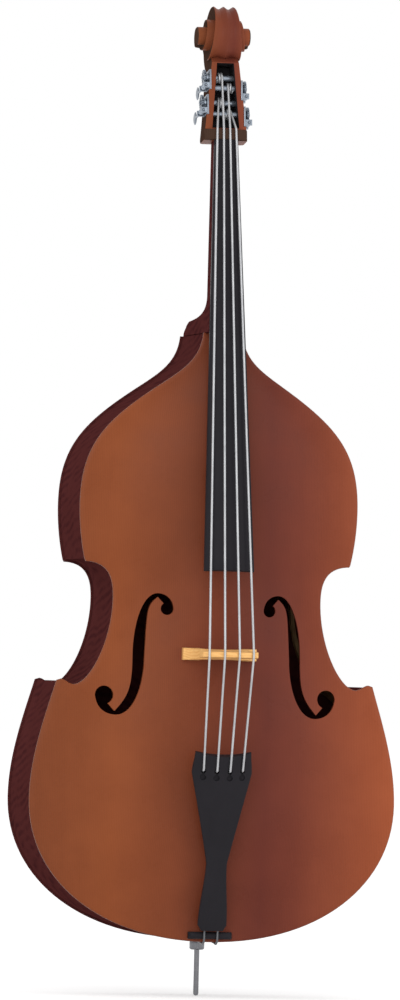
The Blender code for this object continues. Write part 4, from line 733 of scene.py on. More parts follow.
@dataclass
class Shell:
    """The body: arched front and back, six ribs and the pieces inside.

    Outlines are (across, rise over the bottom edge) points of the right half.
    """

    length: float = 1.097
    rib_depth: float = 0.216
    rib_thick: float = 0.0025
    rib_ease: float = 0.0002
    rib_points: int = 64
    overhang: float = 0.005
    rib_cover: float = 0.0006
    corner_reach: float = 0.036
    top_arch: float = 0.028
    back_arch: float = 0.022
    arch_inset: float = 0.014
    arch_foot: float = 0.012
    arch_head: float = 0.004
    ridge_low: float = 0.210
    ridge_high: float = 0.880
    under_inset: float = 0.0014
    button_half: float = 0.030
    button_rise: float = 0.030
    button_steps: int = 10
    saddle_half: float = 0.0403
    saddle_low: float = 0.0057
    saddle_high: float = 0.0188
    plug_radius: float = 0.0128
    plug_room: Flat = (-0.03, 0.06)
    plug_sides: int = 40
    hole_cut: Flat = (-0.3, -0.05)
    hole: tuple[tuple, ...] = (
        ((0.0114, 0.0939, 0.5984), (math.radians(55), math.radians(-198), 18),
         (9, (0.002, 0.015), (0.097, 0.6259)),
         ((14, (0.1107, 0.6259), (0.137, 0.6259), (0.1538, 0.572), (0.1538, 0.512)),
          (14, (0.1538, 0.512), (0.1538, 0.455), (0.16, 0.4398), (0.1849, 0.4126)))),
        ((0.0166, 0.2036, 0.4411), (math.radians(246), math.radians(-20), 20),
         (10, (-0.004, -0.020), (0.2, 0.4058)),
         ((14, (0.1825, 0.4058), (0.15, 0.4058), (0.1326, 0.460), (0.1326, 0.512)),
          (12, (0.1326, 0.512), (0.128, 0.600), (0.130, 0.602), (0.1107, 0.6191)))),
    )
    edge: tuple[Flat, ...] = ((0.0, 0.0018), (0.0, 0.0042), (0.0009, 0.0062), (0.0026, 0.007))
    outer_shares: tuple[float, ...] = (0.03, 0.07, 0.12, 0.18, 0.25, 0.33, 0.42, 0.51, 0.60, 0.69, 0.78, 0.86, 0.93,
                                       0.97, 1.0)
    inner_shares: tuple[float, ...] = (0.08, 0.2, 0.34, 0.5, 0.66, 0.82, 1.0)
    leans: tuple[Flat, ...] = ((0.0, 0.03), (0.03, 0.07), (0.08, 0.13), (0.13, 0.58), (0.58, 0.82), (0.83, 0.88),
                               (0.88, 0.95), (0.95, 1.0), (1.0, 1.0))
    widths: tuple[Flat, ...] = (
        (0.0, 0.055), (0.012, 0.095), (0.03, 0.150), (0.06, 0.208), (0.10, 0.258), (0.15, 0.299), (0.20, 0.325),
        (0.252, 0.335), (0.31, 0.331), (0.37, 0.311), (0.42, 0.280), (0.46, 0.251), (0.50, 0.231), (0.55, 0.206),
        (0.60, 0.192), (0.64, 0.194), (0.68, 0.212), (0.72, 0.236), (0.783, 0.253), (0.84, 0.247), (0.89, 0.224),
        (0.94, 0.183), (0.993, 0.126), (1.03, 0.088), (1.06, 0.059), (1.097, 0.036),
    )
    lower: tuple[tuple, ...] = ((30, (0, 0), (0.205, 0), (0.335, 0.110), (0.335, 0.252)),
                                (18, (0.335, 0.252), (0.335, 0.327), (0.311, 0.396), (0.290, 0.466)))
    waist: tuple[tuple, ...] = ((8, (0.282, 0.4685), (0.274, 0.468), (0.268, 0.459), (0.258, 0.459)),
                                (22, (0.258, 0.459), (0.228, 0.462), (0.1905, 0.540), (0.1905, 0.616)),
                                (18, (0.1905, 0.616), (0.1905, 0.652), (0.200, 0.6795), (0.242, 0.6805)))
    upper: tuple[tuple, ...] = ((12, (0.244, 0.6845), (0.251, 0.7145), (0.255, 0.750), (0.255, 0.783)),
                                (22, (0.255, 0.783), (0.255, 0.885), (0.2165, 0.9305), (0.126, 0.993)),
                                (18, (0.126, 0.993), (0.0766, 1.027), (0.041, 1.045), (0.036, 1.097)))

    def width(self, rise: float) -> float:
        """Half width that the arching spans at a rise, without the corners.

        Args:
            rise: Height over the bottom edge.

        Returns:
            The half width.
        """
        stops = self.widths
        i = next((k for k in range(len(stops) - 1) if rise <= stops[k + 1][0]), len(stops) - 2)
        a, b = stops[max(i - 1, 0)], stops[i]
        c, d = stops[i + 1], stops[min(i + 2, len(stops) - 1)]
        step = c[0] - b[0]
        t = held((rise - b[0]) / step)
        slope_1 = (c[1] - a[1]) / (c[0] - a[0]) * step
        slope_2 = (d[1] - b[1]) / (d[0] - b[0]) * step
        cubic = (2 * t**3 - 3 * t * t + 1) * b[1] + (t**3 - 2 * t * t + t) * slope_1
        return cubic + (3 * t * t - 2 * t**3) * c[1] + (t**3 - t * t) * slope_2

    def swell(self, x: float, rise: float) -> float:
        """Share of the arching's height over a point of the outline's plane.

        Args:
            x: Place across.
            rise: Height over the bottom edge.

        Returns:
            0 at the edge to 1 on the ridge.
        """
        across = max(0.0, 1 - abs(x) / (self.width(rise) - self.arch_inset))
        below = (rise - self.arch_foot) / self.ridge_low
        above = (self.length - self.arch_head - rise) / (self.length - self.ridge_high)
        return math.sin(math.pi / 2 * across) ** 2 * math.sin(math.pi / 2 * held(min(below, above))) ** 2

    def half_outline(self, button: bool) -> list[Triple]:
        """Right half of a plate's outline.

        Args:
            button: Whether the back's button stands at the top.

        Returns:
            (x, rise, rise on the ridge that the point leans to) for each point.
        """
        crown = [(0.0, self.length)]
        if button:
            turns = evenly(0, math.pi / 2, self.button_steps)
            crown = [(self.button_half * math.cos(a), self.length + self.button_rise * math.sin(a)) for a in turns]
        runs = [bezier(*run) for run in self.lower + self.waist + self.upper] + [crown]
        found = []
        for points, (first, last) in zip(runs, self.leans):
            for i, (x, rise) in enumerate(points):
                if found and math.hypot(x - found[-1][0], rise - found[-1][1]) < MERGE:
                    continue
                share = first + (last - first) * i / max(len(points) - 1, 1)
                found.append((x, rise, self.ridge_low + (self.ridge_high - self.ridge_low) * share))
        return found

    def plate_shape(self, arch: float, front: int, button: bool) -> Shape:
        """An arched plate with rounded edges.

        Args:
            arch: Height of its arching.
            front: -1 for the front plate and 1 for the back.
            button: Whether the back's button stands at the top.

        Returns:
            The closed shape.
        """
        outline = mirrored(self.half_outline(button))
        normals = []
        for (x0, z0, _), (x1, z1, _) in zip(outline[-1:] + outline[:-1], outline[1:] + outline[:1]):
            size = math.hypot(x1 - x0, z1 - z0)
            normals.append(((z0 - z1) / size, (x1 - x0) / size))

        def inner(inset: float) -> list[Flat]:
            """The outline, drawn in."""
            return [(x + n[0] * inset, rise + n[1] * inset) for (x, rise, _), n in zip(outline, normals)]

        def rows(rim: list[Flat], shares: Sequence[float], up: float) -> list[tuple[list[Flat], float]]:
            """Rings from a rim to the ridge, with their height."""
            return [([(x * (1 - share), rise + (ridge - rise) * share) for (x, rise), (_, _, ridge)
                      in zip(rim, outline)], up) for share in shares]

        over = [(inner(inset), up) for inset, up in self.edge]
        over += rows(over[-1][0], self.outer_shares, PLATE_THICK)
        under = [(inner(self.under_inset), 0.0)]
        under += rows(under[0][0], self.inner_shares, 0.0)
        shape = bmesh.new()
        made = [[[shape.verts.new((x, front * (PLATE_PLANE + up + arch * self.swell(x, rise)), BODY_LOW + rise))
                  for x, rise in row] for row, up in face] for face in (over, under)]
        for face in (*made, (made[1][0], made[0][0])):
            skin(shape, face)
        bmesh.ops.remove_doubles(shape, verts=shape.verts, dist=MERGE)
        return shape

    def sound_hole(self, side: Side) -> list[Flat]:
        """Outline of one f-hole: two eyes, two wings and a swelling stem.

        Args:
            side: Side of the front.

        Returns:
            Its points as (x, height).
        """
        points = []
        for eye, turn, (steps, lead, handle), stem in self.hole:
            points += spots_on(evenly(*turn), *eye)
            start = points[-1]
            ahead = (start[0] + lead[0], start[1] + lead[1])
            wing = bezier(steps, start, ahead, handle, stem[0][1])
            points = chain(points, wing, *(bezier(*run) for run in stem))
        return [(side.value * u, BODY_LOW + v) for u, v in points]

    def front(self) -> Piece:
        """The front with its f-holes and the saddle's notch.

        Returns:
            The front.
        """
        steps = [(Tool.CUT, slab([self.sound_hole(side)], lambda u, v, y: Vector((u, y, v)), *self.hole_cut))
                 for side in Side]
        notch = box_shape(Vector((-self.saddle_half, self.hole_cut[0], BODY_LOW + self.saddle_low)),
                          Vector((self.saddle_half, 0.0, BODY_LOW + self.saddle_high)))
        return finished("front", self.plate_shape(self.top_arch, -1, False), FRONT_VARNISH_PAINTED_SHADING, "body", "top_plate",
                        steps=steps + [(Tool.CUT, notch)])

    def back(self) -> Piece:
        """The back with its button."""
        return finished("back", self.plate_shape(self.back_arch, 1, True), RIB_VARNISH, "body", "back_plate")

    def rib_runs(self, inset: float) -> list[list[Vector]]:
        """Faces of the ribs on the right side, mitred at the corners.

        Args:
            inset: Distance in from the outline.

        Returns:
            Lower, waist and upper run.
        """
        runs = []
        for parts in (self.lower, self.waist, self.upper):
            points = [Vector(p) for p in chain(*(bezier(*run) for run in parts))]
            moved = []
            for i, point in enumerate(points):
                along = (points[min(i + 1, len(points) - 1)] - points[max(i - 1, 0)]).normalized()
                moved.append(point + inset * Vector((-along.y, along.x)))
            head = moved[0] + (moved[0] - moved[1]).normalized() * self.corner_reach
            tail = moved[-1] + (moved[-1] - moved[-2]).normalized() * self.corner_reach
            runs.append([head] + moved + [tail])
        runs[0] = runs[0][1:]
        runs[0][0].x = self.rib_ease
        runs[2] = [p for p in runs[2] if p.y < self.length] + [Vector((runs[2][-2].x, self.length))]
        for i in (0, 1):
            runs[i], runs[i + 1] = self.mitred(runs[i], runs[i + 1])
        return runs

    @staticmethod
    def mitred(first: list[Vector], second: list[Vector]) -> tuple[list[Vector], list[Vector]]:
        """Cuts two runs where they cross.

        Args:
            first: Run that ends at the crossing.
            second: Run that starts there.

        Returns:
            Both runs.
        """
        for i in range(len(first) - 1, 0, -1):
            p, r = first[i - 1], first[i] - first[i - 1]
            for j in range(len(second) - 1):
                q, s = second[j], second[j + 1] - second[j]
                across = r.cross(s)
                if abs(across) < 1e-12:
                    continue
                t, u = (q - p).cross(s) / across, (q - p).cross(r) / across
                if 0 <= t <= 1 and 0 <= u <= 1:
                    meet = p + r * t
                    return first[:i] + [meet], [meet] + second[j + 1:]
        return first, second

    def evened(self, points: list[Vector]) -> list[Vector]:
        """Evenly spaced points on a rib's run, with both ends left a little free.

        Args:
            points: The run.

        Returns:
            The points.
        """
        lengths = [0.0]
        for a, b in zip(points, points[1:]):
            lengths.append(lengths[-1] + (b - a).length)
        found = []
        k = 0
        for i in range(self.rib_points):
            length = self.rib_ease + (lengths[-1] - 2 * self.rib_ease) * i / (self.rib_points - 1)
            while k < len(points) - 2 and lengths[k + 1] < length:
                k += 1
            found.append(points[k].lerp(points[k + 1], (length - lengths[k]) / (lengths[k + 1] - lengths[k])))
        return found

    def ribs(self) -> None:
        """The six ribs, with the plug's hole through the lower two."""
        outer = self.rib_runs(self.overhang - self.rib_cover)
        inner = self.rib_runs(self.overhang + self.rib_thick)
        half = self.rib_depth / 2
        plug = [(BODY_LOW + end, self.plug_radius) for end in self.plug_room]
        for side in Side:
            for part, outside, inside in zip(("lower", "waist", "upper"), outer, inner):
                rings = []
                for a, b in zip(self.evened(outside), self.evened(inside)):
                    corners = ((a, -half), (b, -half), (b, half), (a, half))
                    rings.append([Vector((side.value * p.x, y, BODY_LOW + p.y)) for p, y in corners])
                name = f"rib_{part}_{side.name.lower()}"
                steps = [(Tool.CUT, turned(plug, Axis.Z, self.plug_sides))] if part == "lower" else ()
                finished(f"{name}_bent", loft(rings), RIB_VARNISH, "body", name, steps=steps)

    def inside(self) -> None:
        """The blocks, linings, bar and post, which keep their solids."""
        corners = [f"corner_block_{row}_{side}" for row in ("upper", "lower") for side in ("left", "right")]
        for node in corners + ["neck_block", "end_block", "lining_front", "lining_back", "bass_bar", "sound_post"]:
            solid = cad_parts[node]
            solid.data.materials.clear()
            solid.data.materials.append(BARE_SPRUCE.material())
            LOG.info("%s keeps its solid, finished as %s", node, BARE_SPRUCE.name)

    def build(self) -> Piece:
        """Builds the body.

        Returns:
            Its front.
        """
        front = self.front()
        self.back()
        self.ribs()
        self.inside()
        return front


@dataclass
class NeckLine:
    """The neck's own frame: across, out from and up along the fingerboard's glue plane."""

    origin: Triple = (0.0, -0.1453, 1.197)
    tilt: float = math.radians(8.8)
    length: float = 0.3526
    board_below: float = 0.436
    board_top: float = 0.043
    board_end: float = 0.091
    board_side: float = 0.009
    board_radius: float = 0.090
    nut_length: float = 0.0195
    nut_rise: float = 0.0008

    @property
    def head_low(self) -> float:
        """Height of the head's foot."""
        return self.length + GAP

    @property
    def nut_top(self) -> float:
        """Height of the nut's upper edge."""
        return self.head_low + self.nut_length

    def matrix(self) -> Matrix:
        """Turn and place of the frame, whose Y points to the back."""
        return Matrix.Translation(self.origin) @ Matrix.Rotation(-self.tilt, 4, "X")

    def point(self, x: float, out: float, up: float) -> Vector:
        """World place of a point of the frame."""
        return self.matrix() @ Vector((x, -out, up))

    def board_half(self, up: float) -> float:
        """Half width of the fingerboard at a height."""
        share = (up + self.board_below) / (self.board_below + self.length)
        return (self.board_end + (self.board_top - self.board_end) * share) / 2

    def board_height(self, x: float, up: float) -> float:
        """Height of the playing surface over the glue plane."""
        edge = math.sqrt(self.board_radius**2 - self.board_half(up) ** 2)
        return self.board_side + math.sqrt(self.board_radius**2 - x * x) - edge

    def nut_height(self, x: float) -> float:
        """Height of the nut over the glue plane."""
        return self.board_height(x, self.length) + self.nut_rise


LINE = NeckLine()
IN_NECK = LINE.matrix()


@dataclass
class Neck:
    """Neck shaft with its heel, the fingerboard and the nut."""

    body_top: float = 1.197
    heel_back: float = 0.108
    heel_half: float = 0.0335
    heel_height: float = 0.026
    heel_lip: float = 0.004
    heel_tuck: float = 0.020
    heel_steps: int = 10
    heel_curve: Flat = (0.7, 0.95)
    fillet: float = 0.045
    fillet_lead: float = 0.55
    fillet_steps: int = 20
    thick: float = 0.040
    thick_low: float = 0.048
    square: float = 0.5
    across_power: Flat = (0.45, 0.35)
    depth_power: Flat = (0.75, 0.55)
    ring_steps: int = 36
    tenon_half: float = 0.018
    tenon_depth: float = 0.026
    tenon_rise: float = 0.007
    tenon_inset: float = 0.024
    nut_half: float = 0.0395
    nut_steps: int = 78
    nut_end: float = 0.003
    nut_fall: float = 0.0016
    nut_foot: tuple[Flat, ...] = ((0.0015, 0.0), (0.0004, 0.0012), (0.0, 0.003))
    nut_head: tuple[Flat, ...] = ((0.0, 0.002), (0.0003, 0.0008), (0.001, 0.0))
    board_hollow: float = 0.004
    board_edge: float = 0.0006
    board_steps: int = 24
    board_over: int = 24
    board_under: int = 12
    shaft_steps: int = 10

    @property
    def floor(self) -> float:
        """Height of the heel's foot."""
        return self.body_top + GAP

    def ring(self, front: Vector, back: Vector, half: float, square: float) -> Ring:
        """A U-shaped section of the neck.

        Args:
            front: Its front point on the middle line.
            back: Its back point.
            half: Its half width.
            square: 0 for a round back to 1 for a square one.

        Returns:
            The section's points.
        """
        ring = []
        wide, deep = (power - less * square for power, less in (self.across_power, self.depth_power))
        for a in evenly(0, math.pi, self.ring_steps):
            across = math.copysign(abs(math.cos(a)) ** wide, math.cos(a))
            middle = front.lerp(back, max(math.sin(a), 0.0) ** deep)
            ring.append(Vector((half * across, middle.y, middle.z)))
        return ring

    def tips(self) -> list[Vector]:
        """Back line of the heel from its foot to the shaft.

        Returns:
            Its points.
        """
        top = self.floor + self.heel_height
        shaft = LINE.point(0, -self.thick_low, self.heel_height + self.fillet)
        low, high = (self.floor + share * self.heel_height for share in self.heel_curve)
        foot = bezier(self.heel_steps, (self.heel_back, self.floor), (self.heel_back, low),
                      (self.heel_back - self.heel_lip, high), (self.heel_back - self.heel_tuck, top))
        start, bend = foot[-1], (shaft.y, top + self.heel_lip)
        ahead = tuple(a + self.fillet_lead * (b - a) for a, b in zip(start, bend))
        fillet = bezier(self.fillet_steps, start, ahead, bend, (shaft.y, shaft.z))
        return [Vector((0, y, z)) for y, z in chain(foot, fillet)]

    def shaft(self) -> None:
        """Shaft and heel with the tenon that sits in the neck block."""
        tips = self.tips()
        rings = []
        reach = self.heel_height + self.fillet
        for i, tip in enumerate(tips):
            share = i / (len(tips) - 1)
            up = GAP / math.cos(LINE.tilt) + reach * share
            front = LINE.point(0, 0, up)
            front.z = max(front.z, self.floor)
            half = self.heel_half + (LINE.board_half(up) - self.heel_half) * share
            rings.append(self.ring(front, tip, half, max(self.square, 1 - 2 * share)))
        for share in evenly(0, 1, self.shaft_steps)[1:]:
            up = reach + (LINE.length - reach) * share
            back = LINE.point(0, -self.thick_low + (self.thick_low - self.thick) * share, up)
            rings.append(self.ring(LINE.point(0, 0, up), back, LINE.board_half(up), self.square))
        deep = self.heel_back - self.tenon_inset
        tenon = box_shape(Vector((-self.tenon_half, -deep, self.body_top - self.tenon_depth)),
                          Vector((self.tenon_half, deep, self.floor + self.tenon_rise)))
        finished("neck_shaft", loft(rings), RIB_VARNISH, "body", "neck", steps=[(Tool.JOIN, tenon)])

    def board(self) -> None:
        """The crowned fingerboard, hollowed under its free end."""
        rings = []
        for up in evenly(-LINE.board_below, LINE.length, self.board_steps):
            half = LINE.board_half(up)
            free = self.board_hollow * smooth_step(held(-up / LINE.board_below))
            under = evenly(half, -half, self.board_under)
            rings.append([Vector((x, -GAP - free * (1 - (x / half) ** 2), up)) for x in under]
                         + [Vector((x, -LINE.board_height(x, up), up)) for x in evenly(-half, half, self.board_over)])
        finished("board", loft(rings), EBONY, "body", "fingerboard", place=IN_NECK, edge=self.board_edge)

    def nut(self) -> None:
        """The crowned nut bar, with rounded edges and ends."""
        rings = []
        low, high = LINE.head_low, LINE.nut_top
        edges = [(fall, low + rise) for fall, rise in self.nut_foot]
        edges += [(fall, high - drop) for fall, drop in self.nut_head]
        for x in evenly(-self.nut_half, self.nut_half, self.nut_steps):
            ease = self.nut_fall * max(0.0, (abs(x) - self.nut_half + self.nut_end) / self.nut_end) ** 2
            tall = LINE.nut_height(x)
            spots = [(GAP, low)] + [(tall - fall - ease, up) for fall, up in edges] + [(GAP, high)]
            rings.append([Vector((x, -max(out, GAP), up)) for out, up in spots])
        # Painted shade: the nut bar takes the dark brown of the shade under the pegbox.
        finished("nut_bar", loft(rings), CHIN_PAINTED_SHADE, "body", "nut", place=IN_NECK)

    def build(self) -> None:
        """Builds the neck's pieces."""
        self.shaft()
        self.board()
        self.nut()


@dataclass
class Head:
    """Pegbox and scroll in one carved piece, in the neck's frame."""

    pegbox_length: float = 0.128
    low_half: float = 0.040
    high_half: float = 0.0245
    front: float = 0.004
    low_back: float = 0.046
    high_back: float = 0.067
    soft: float = 0.006
    cove: tuple[Flat, ...] = ((0.0, 0.008), (0.003, 0.003), (0.008, 0.0))
    bow_end: float = 0.004
    bow_power: float = 1.6
    bow_steps: int = 8
    soft_steps: int = 6
    throat: tuple[Triple, ...] = ((0.00594, -0.008, 0.073), (0.022, -0.024, 0.0766))
    slot_length: float = 0.122
    slot_low: float = 0.025
    slot_high: float = 0.0155
    slot_floor: float = 0.040
    slot_open: float = 0.08
    slot_start: float = 0.002
    slot_lip: float = 0.0035
    slot_near: float = 0.0005
    scroll_rise: float = 0.1745
    scroll_back: float = 0.020
    scroll_start: float = math.radians(-135)
    radius: float = 0.0705
    ratio: float = 0.57
    widths: tuple[Flat, ...] = ((0.0, 0.0235), (0.375, 0.0195), (0.875, 0.0295), (1.375, 0.0315), (2.0, 0.04025))
    dips: tuple[Flat, ...] = ((0.0, 0.0015), (0.03, 0.0), (0.28, 0.0028), (0.65, 0.0046), (1.0, 0.004))
    eye: float = 0.049
    eye_edge: float = 0.002
    rim_edge: float = 0.0015
    flute: float = 0.005
    flute_power: float = 1.3
    flutes: tuple[float, ...] = (0.86, 0.7, 0.5, 0.3, 0.12, 0.0, -0.12, -0.3, -0.5, -0.7, -0.86)
    turns: int = 2
    columns: int = 72
    # Painted shade on the head: the scroll's wrap outside these angles round its eye, and faces turned to the sides or
    # the back past these shares.
    painted_shade_from: float = -20.0
    painted_shade_to: float = 180.0
    painted_shade_facing: float = 0.7
    painted_shade_back: float = 0.55
    sharp: float = 32.0

    def half(self, up: float) -> float:
        """Half width of the pegbox at a height up the neck."""
        share = (up - LINE.head_low) / (LINE.nut_length + self.pegbox_length)
        return self.low_half + (self.high_half - self.low_half) * share

    def slot_half(self, up: float) -> float:
        """Half width of the string slot at a height up the neck."""
        share = (up - LINE.nut_top - 2 * GAP) / self.slot_length
        return self.slot_low + (self.slot_high - self.slot_low) * share

    def scroll_half(self, turns: float) -> float:
        """Half width of the scroll after turns of the spiral from its root."""
        before, after, share = between(self.widths, turns)
        return before + (after - before) * smooth_step(share)

    def scroll(self) -> Shape:
        """The volute: spiral steps on both sides that climb to the eye, with a fluted rim.

        Returns:
            The closed shape.
        """
        shape = bmesh.new()
        columns = self.columns

        def spot(step: float, turn: float, x: float, inset: float = 0.0) -> bmesh.types.BMVert:
            """Adds a point of the spiral.

            Args:
                step: Column round the spiral.
                turn: Turns from the spiral's root.
                x: Place across.
                inset: Distance in from the spiral.

            Returns:
                The point.
            """
            angle = self.scroll_start + math.tau * step / columns
            radius = self.radius * self.ratio**turn - inset
            y = self.scroll_back - radius * math.sin(angle)
            return shape.verts.new((x, y, LINE.nut_top + self.scroll_rise + radius * math.cos(angle)))

        count = len(self.dips)
        sides = []
        for side in (1, -1):
            cols = []
            for j in range(columns):
                turns = [k + j / columns for k in range(self.turns)]
                col = [spot(j, turn + ahead, side * (self.scroll_half(turn) - dip))
                       for turn in turns for ahead, dip in self.dips]
                last = self.turns + j / columns
                col.append(spot(j, last, side * (self.eye - self.eye_edge)))
                col.append(spot(j, last, side * self.eye, self.eye_edge))
                cols.append(col)
            cols.append(cols[0][count:] + [cols[0][-1]] * count)
            skin(shape, cols, False)
            shape.faces.new([col[-1] for col in cols[:-1]])
            sides.append(cols)
        rim = []
        for j in range(columns + 1):
            turn = j / columns
            wide = self.scroll_half(turn) - self.rim_edge
            middle = [spot(j, turn, wide * x, self.flute * math.sin(math.pi * abs(x)) ** self.flute_power)
                      for x in self.flutes]
            rim.append([sides[0][j][0]] + middle + [sides[1][j][0]])
        skin(shape, rim, False)
        step = sides[0][0][:count] + rim[-1] + sides[1][0][count - 1::-1] + rim[0][-2:0:-1]
        shape.faces.new(list(dict.fromkeys(step)))
        return shape

    def pegbox(self) -> Shape:
        """The pegbox: a tapering block with a shelf for the nut.

        Returns:
            The closed shape.
        """
        low, high, top = LINE.head_low, LINE.nut_top, LINE.nut_top + self.pegbox_length
        stations = [(low + rise, 0.0, self.low_back - less) for rise, less in self.cove]
        stations += [(high + GAP, 0.0, self.low_back), (high + 2 * GAP, self.front, self.low_back)]
        for share in evenly(0, 1, self.bow_steps)[1:]:
            bow = self.low_back + (self.high_back - self.low_back) * share**self.bow_power
            stations.append((high + (self.pegbox_length - self.bow_end) * share, self.front, bow))
        stations += [(top + rise, out, back) for rise, out, back in self.throat]
        rings = []
        bends = evenly(0, math.pi / 2, self.soft_steps)
        for up, out, back in stations:
            half = self.half(up)
            curve = [(half - self.soft * (1 - math.cos(a)), -back + self.soft * (1 - math.sin(a))) for a in bends]
            ring = [(half, out), (-half, out)] + [(-x, o) for x, o in curve] + curve[::-1]
            rings.append([Vector((x, -o, up)) for x, o in ring])
        return loft(rings)

    def slot(self) -> Shape:
        """The string slot between the cheeks.

        Returns:
            The shape to cut away.
        """
        rings = []
        low = LINE.nut_top + 2 * GAP
        for up in (low + self.slot_start, low + self.slot_length):
            half = self.slot_half(up)
            corners = ((half, self.slot_open), (-half, self.slot_open), (-half, -self.slot_floor),
                       (half, -self.slot_floor))
            rings.append([Vector((x, -out, up)) for x, out in corners])
        return loft(rings)

    def build(self, tuners: Sequence["Tuner"]) -> None:
        """Joins the head and cuts it for the strings and the tuning machines.

        Args:
            tuners: The tuning machines that sit in it.
        """
        made = to_mesh("carved_head", self.pegbox(), IN_NECK)
        carved(made, [(Tool.JOIN, self.scroll())], IN_NECK)
        rooms = [self.slot()] + [room for tuner in tuners for room in (tuner.bore(), tuner.room())]
        carved(made, [(Tool.CUT, room) for room in rooms], IN_NECK, self.sharp)
        dress(made, HEAD_VARNISH_PAINTED_SHADING, "body", "head")
        self.paint(made)

    def paint(self, made: Piece) -> None:
        """Paints shade on the head's sides, back and far scroll turns, and gives the slot its black lining with
        painted shade.

        Args:
            made: The carved head.
        """
        made.data.materials.append(HEAD_SHADOW.material())
        made.data.materials.append(SLOT_BLACK_AND_SHADE.material())
        back = IN_NECK.inverted()
        for face in made.data.polygons:
            spot = back @ face.center
            rise = spot.z - LINE.nut_top
            around = math.degrees(math.atan2(self.scroll_back - spot.y, rise - self.scroll_rise))
            # The slot's black lining, which is also painted shade in the recess.
            lined_and_shaded = (abs(spot.x) < self.slot_half(spot.z) + self.slot_near
                     and -self.slot_lip < spot.y < self.slot_floor + self.slot_near
                     and self.slot_start < rise < self.slot_length + 2 * self.slot_near)
            # Painted shade: faces turned to the back, the scroll's wrap outside the angles and faces turned to the
            # sides take the dark colour.
            in_painted_shade = face.normal.y > self.painted_shade_back
            if rise >= self.pegbox_length:
                in_painted_shade = not self.painted_shade_from < around < self.painted_shade_to
            if lined_and_shaded:
                face.material_index = 2
            elif in_painted_shade or abs(face.normal.x) > self.painted_shade_facing:
                face.material_index = 1


